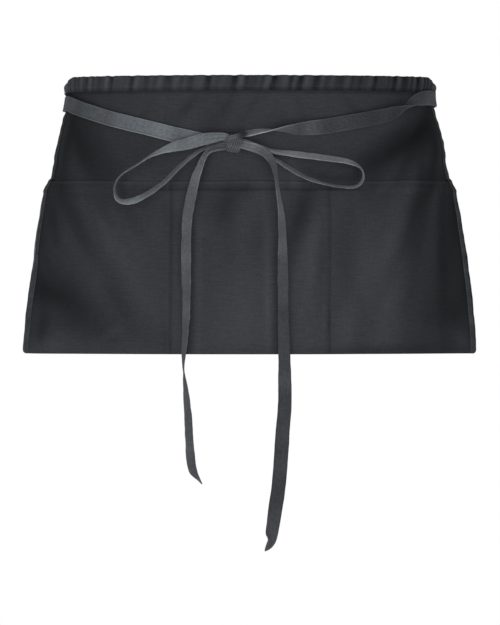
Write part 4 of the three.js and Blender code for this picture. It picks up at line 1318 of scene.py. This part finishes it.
def make_knot():
    rings, around = 90, 60
    outer, wear_and_painted_shade = knot_shell(rings, around, 1.0, 0.16)
    inner, _ = knot_shell(rings, around, 0.66, 0.0)
    points = np.concatenate([outer.reshape(-1, 3), inner.reshape(-1, 3)])
    size = rings * around
    i, k = np.meshgrid(np.arange(rings - 1), np.arange(around), indexing="ij")
    a, b = (i * around + k).ravel(), (i * around + (k + 1) % around).ravel()
    faces = [
        np.stack([a, b, b + around, a + around], axis=1),
        np.stack([a + size, a + around + size, b + around + size, b + size], axis=1),
    ]
    k = np.arange(around)
    a, b = k, (k + 1) % around
    faces.append(np.stack([a, a + size, b + size, b], axis=1))
    c, d = a + size - around, b + size - around
    faces.append(np.stack([c, d, d + size, c + size], axis=1))
    share, angle = np.meshgrid(np.arange(rings) * KNOT_LENGTH / rings, k * 0.9, indexing="ij")
    uv = np.stack([share, angle], axis=-1).reshape(-1, 2)
    # The inner shell is painted darker still, as painted shade inside the knot.
    made = make_object(
        "bow_knot", points, np.concatenate(faces).tolist(), np.concatenate([uv, uv]), 70,
        np.concatenate([wear_and_painted_shade.ravel(), wear_and_painted_shade.ravel() - 0.5]),
    )
    dress(made, TAPE_TWILL, "knot")
    return made


# The last turn of tape over the knot's top, as places from the knot's centre
WRAP_WIDTH = 6.4
# The wrap is painted darker towards its far end, as painted shade where it tucks into the knot.
WRAP_SHADING = [(0, 0.3), (17, 0.3), (22, -0.5)]
WRAP = [
    (-8.6, 1.0, 1.6),
    (-7.9, -4.2, 3.4),
    (-5.2, -7.2, 4.9),
    (-0.6, -7.9, 6.2),
    (4.0, -7.4, 7.8),
    (7.6, -5.6, 9.4),
    (9.4, -2.0, 10.8),
    (10.0, 2.5, 11.8),
]


def make_wrap():
    place = np.linspace(0, len(WRAP) - 1, 120)
    names = ("x", "y", "z")
    points = KNOT + KNOT_SHIFT + np.stack([column(WRAP, names, name, place) for name in names], axis=1)
    looks = np.tile(unit(np.array([0.0, -0.8, 0.6])), (len(place), 1))
    line = Line(points, looks, np.zeros(len(place)), np.full(len(place), WRAP_WIDTH)).even(0.8, 0.8)
    made, _ = tape_mesh("bow_knot_wrap", line, 7.0, WRAP_SHADING, thickness=1.2, cup=0.3, wave=0.3)
    dress(made, TAPE_TWILL)


# Stitches: short rounded threads laid along a line
def stitches(name, runs):
    """runs holds lists of (points, outward directions)."""
    sides = 6
    profile = [(-0.5, 0.0), (-0.42, 0.8), (-0.2, 1.0), (0.2, 1.0), (0.42, 0.8), (0.5, 0.0)]
    points, faces = [], []
    for line, looks in runs:
        walked = np.concatenate([[0], np.cumsum(np.linalg.norm(np.diff(line, axis=0), axis=1))])
        count = int(walked[-1] / STITCH_PITCH)
        centres = (np.arange(count) + 0.5) * STITCH_PITCH
        pick = lambda values, at: np.stack([np.interp(at, walked, values[:, k]) for k in range(3)], axis=1)
        middle, face = pick(line, centres), unit(pick(looks, centres))
        along = unit(pick(line, centres + 0.8) - pick(line, centres - 0.8))
        beside = np.cross(along, face)
        for i in range(count):
            base = len(points)
            for at, size in profile:
                sink = STITCH_RADIUS * 0.9 * (abs(at) * 2) ** 3
                ring_middle = middle[i] + along[i] * (at * STITCH_LENGTH) - face[i] * sink
                for k in range(sides):
                    angle = 2 * math.pi * k / sides
                    radius = STITCH_RADIUS * max(size, 0.15)
                    spoke = math.cos(angle) * face[i] + math.sin(angle) * beside[i]
                    points.append(ring_middle + radius * spoke)
            for r in range(len(profile) - 1):
                for k in range(sides):
                    a, b = base + r * sides + k, base + r * sides + (k + 1) % sides
                    faces.append([a, a + sides, b + sides, b])
            faces.append([base + k for k in range(sides)])
            last = base + (len(profile) - 1) * sides
            faces.append([last + k for k in reversed(range(sides))])
    uv = np.zeros((len(points), 2))
    made = make_object(name, points, faces, uv)
    return dress(made, THREAD)


def stitch_line(across, drop, offset):
    across, drop, offset = np.broadcast_arrays(*(np.asarray(v, float) for v in (across, drop, offset)))
    return layer(across, drop, offset), outward(across, drop)


def make_cloth_stitches():
    line = np.linspace(-HALF_WIDTH + 2, HALF_WIDTH - 2, 700)
    band_stitch = BAND_HEIGHT / 2 - 1.8
    band_face = FIRST_FACE + CLEARANCE * 1.5 + CLOTH + 0.05
    stitches("band_stitching", [stitch_line(line, band_stitch, band_face + 0.1)])

    line = np.linspace(-HEM_EDGE + 1, HEM_EDGE - 1, 600)
    drop = MOUTH_FOOT - 1.4
    face = POCKET_FRONT + MOUTH_HEM_THICKNESS + gape(line, drop) - 0.55
    mouth = stitch_line(line, drop, face + 0.2)
    down = np.linspace(MOUTH_DROP + 1.5, BOTTOM_DROP - 3, 260)
    thick = MOUTH_HEM_THICKNESS * (1 - smooth((down - MOUTH_FOOT - 0.1) / 0.9))
    seams = [
        stitch_line(side * SEAM_OFFSET + shift, down, POCKET_FRONT + thick - 0.55 + 0.2)
        for side, shift in ((-1, -0.9), (-1, 0.9), (1, 0.0))
    ]
    stitches("pocket_stitching", [mouth] + seams)

    runs = []
    for side in (-1, 1):
        rows = np.linspace(BAND_HEIGHT / 2 + 3, BOTTOM_DROP - 3, 300)
        place = mix(HEM_EDGE, HALF_WIDTH - 1.6, 0.16)
        runs.append(stitch_line(side * place, rows, hem_lining(rows) + CLOTH + 0.1))
    stitches("hem_stitching", runs)


# Floor, light and camera
FRONT_FILL = 0.27


def make_floor():
    material, nodes, links, shader = new_material("studio_floor")
    coordinates = nodes.new("ShaderNodeTexCoord")
    grain = nodes.new("ShaderNodeTexNoise")
    grain.inputs["Scale"].default_value = 30
    links.new(coordinates.outputs["Object"], grain.inputs["Vector"])
    spread = nodes.new("ShaderNodeMapRange")
    spread.inputs["To Min"].default_value = 0.84
    spread.inputs["To Max"].default_value = 0.88
    links.new(grain.outputs["Fac"], spread.inputs["Value"])
    links.new(spread.outputs["Result"], shader.inputs["Base Color"])
    shader.inputs["Roughness"].default_value = 0.9
    radius, height, around = 1500.0, -1150.0, 96
    angle = 2 * math.pi * np.arange(around) / around
    ring = np.stack([radius * np.cos(angle), radius * np.sin(angle), np.full(around, height)], axis=1)
    floor = make_object("floor", ring, [list(range(around))])
    floor.data.materials.append(material)


def area_light(name, place, target, size, power, colour=(1, 1, 1)):
    lamp = bpy.data.lights.new(name, "AREA")
    lamp.shape = "RECTANGLE"
    lamp.size, lamp.size_y = size
    lamp.energy = power
    lamp.color = colour
    made = bpy.data.objects.new(name, lamp)
    made.location = place
    direction = np.array(target) - np.array(place)
    made.rotation_euler = Vector(direction).to_track_quat("-Z", "Y").to_euler()
    bpy.context.scene.collection.objects.link(made)
    return made


def make_light():
    """A white wall of light behind the apron, dimmer all round, and a soft lamp in front."""
    world = bpy.data.worlds.new("studio")
    world.use_nodes = True
    nodes, links = world.node_tree.nodes, world.node_tree.links
    coordinates = nodes.new("ShaderNodeTexCoord")
    direction = nodes.new("ShaderNodeSeparateXYZ")
    links.new(coordinates.outputs["Generated"], direction.inputs["Vector"])
    spread = nodes.new("ShaderNodeMapRange")
    spread.interpolation_type = "SMOOTHSTEP"
    spread.inputs["From Min"].default_value = 0.8
    spread.inputs["From Max"].default_value = 0.97
    spread.inputs["To Min"].default_value = FRONT_FILL
    spread.inputs["To Max"].default_value = 1.0
    links.new(direction.outputs["Y"], spread.inputs["Value"])
    links.new(spread.outputs["Result"], nodes["Background"].inputs["Strength"])
    nodes["Background"].inputs["Color"].default_value = (1, 1, 1, 1)
    bpy.context.scene.world = world
    middle = (0, -0.12, -0.2)
    area_light("key", (-0.06, -1.8, -0.4), middle, (2.2, 1.5), 29)


PHOTO_MM_PER_PIXEL = 1.054
PHOTO_HEIGHT = 625
CAMERA_DISTANCE = 5.0
FRONT_PLANE = -0.15
CAMERA_HEIGHT = -0.242


def make_camera():
    lens = bpy.data.cameras.new("camera")
    lens.sensor_width = 36
    lens.lens = 36 * CAMERA_DISTANCE / (PHOTO_HEIGHT * PHOTO_MM_PER_PIXEL / METRE)
    camera = bpy.data.objects.new("camera", lens)
    camera.location = (0, FRONT_PLANE - CAMERA_DISTANCE, CAMERA_HEIGHT)
    camera.rotation_euler = (math.radians(90), 0, 0)
    bpy.context.scene.collection.objects.link(camera)
    bpy.context.scene.camera = camera


make_camera()
make_light()
make_floor()
make_panel()
make_pocket()
make_waistband()
make_side_hem(-1, "apron_side_hem_left", "side_hem_left")
make_side_hem(1, "apron_side_hem_right", "side_hem_right")
left_seam = add_tape(
    "apron_tie_left", "tie_left",
    tie_line(-1, TIE_LEFT_ROWS, ARRIVAL_LEFT, 0.1, -4, (-4.5, 1.5, -1.5)),
    1.0, TIE_LEFT_SHADING, TAPE_BLUE,
)
right_seam = add_tape(
    "apron_tie_right", "tie_right",
    tie_line(1, TIE_RIGHT_ROWS, ARRIVAL_RIGHT, 0.65, 8, (4.5, 0.5, 4.0)),
    2.0, TIE_RIGHT_SHADING,
)
add_tape(
    "bow_loop_left", "loop_left",
    bow_line(LOOP_LEFT_ROWS, LOOP_REACH_LEFT, [(0, (-4.5, -2.5, 2.5)), (1, (-4.5, -3.5, -1.0))]),
    3.0, LOOP_LEFT_SHADING, TAPE_BLUE,
)
add_tape(
    "bow_loop_right", "loop_right",
    bow_line(LOOP_RIGHT_ROWS, LOOP_REACH_RIGHT, [(0, (4.5, 1.0, 0.5)), (1, (4.5, 1.5, -3.0))]),
    4.0, LOOP_RIGHT_SHADING,
)
add_tape(
    "bow_tail_left", "tail_left",
    bow_line(TAIL_LEFT_ROWS, TAIL_LEFT, [(0, (-4.5, 0.0, -4.5))]), 5.0, TAIL_LEFT_SHADING,
)
add_tape(
    "bow_tail_right", "tail_right",
    bow_line(TAIL_RIGHT_ROWS, TAIL_RIGHT, [(0, (4.5, -3.0, -1.5))]), 6.0, TAIL_RIGHT_SHADING,
)
make_knot()
make_wrap()
make_cloth_stitches()
stitches("tie_stitching", [left_seam, right_seam])

bpy.context.scene.view_settings.view_transform = "Standard"
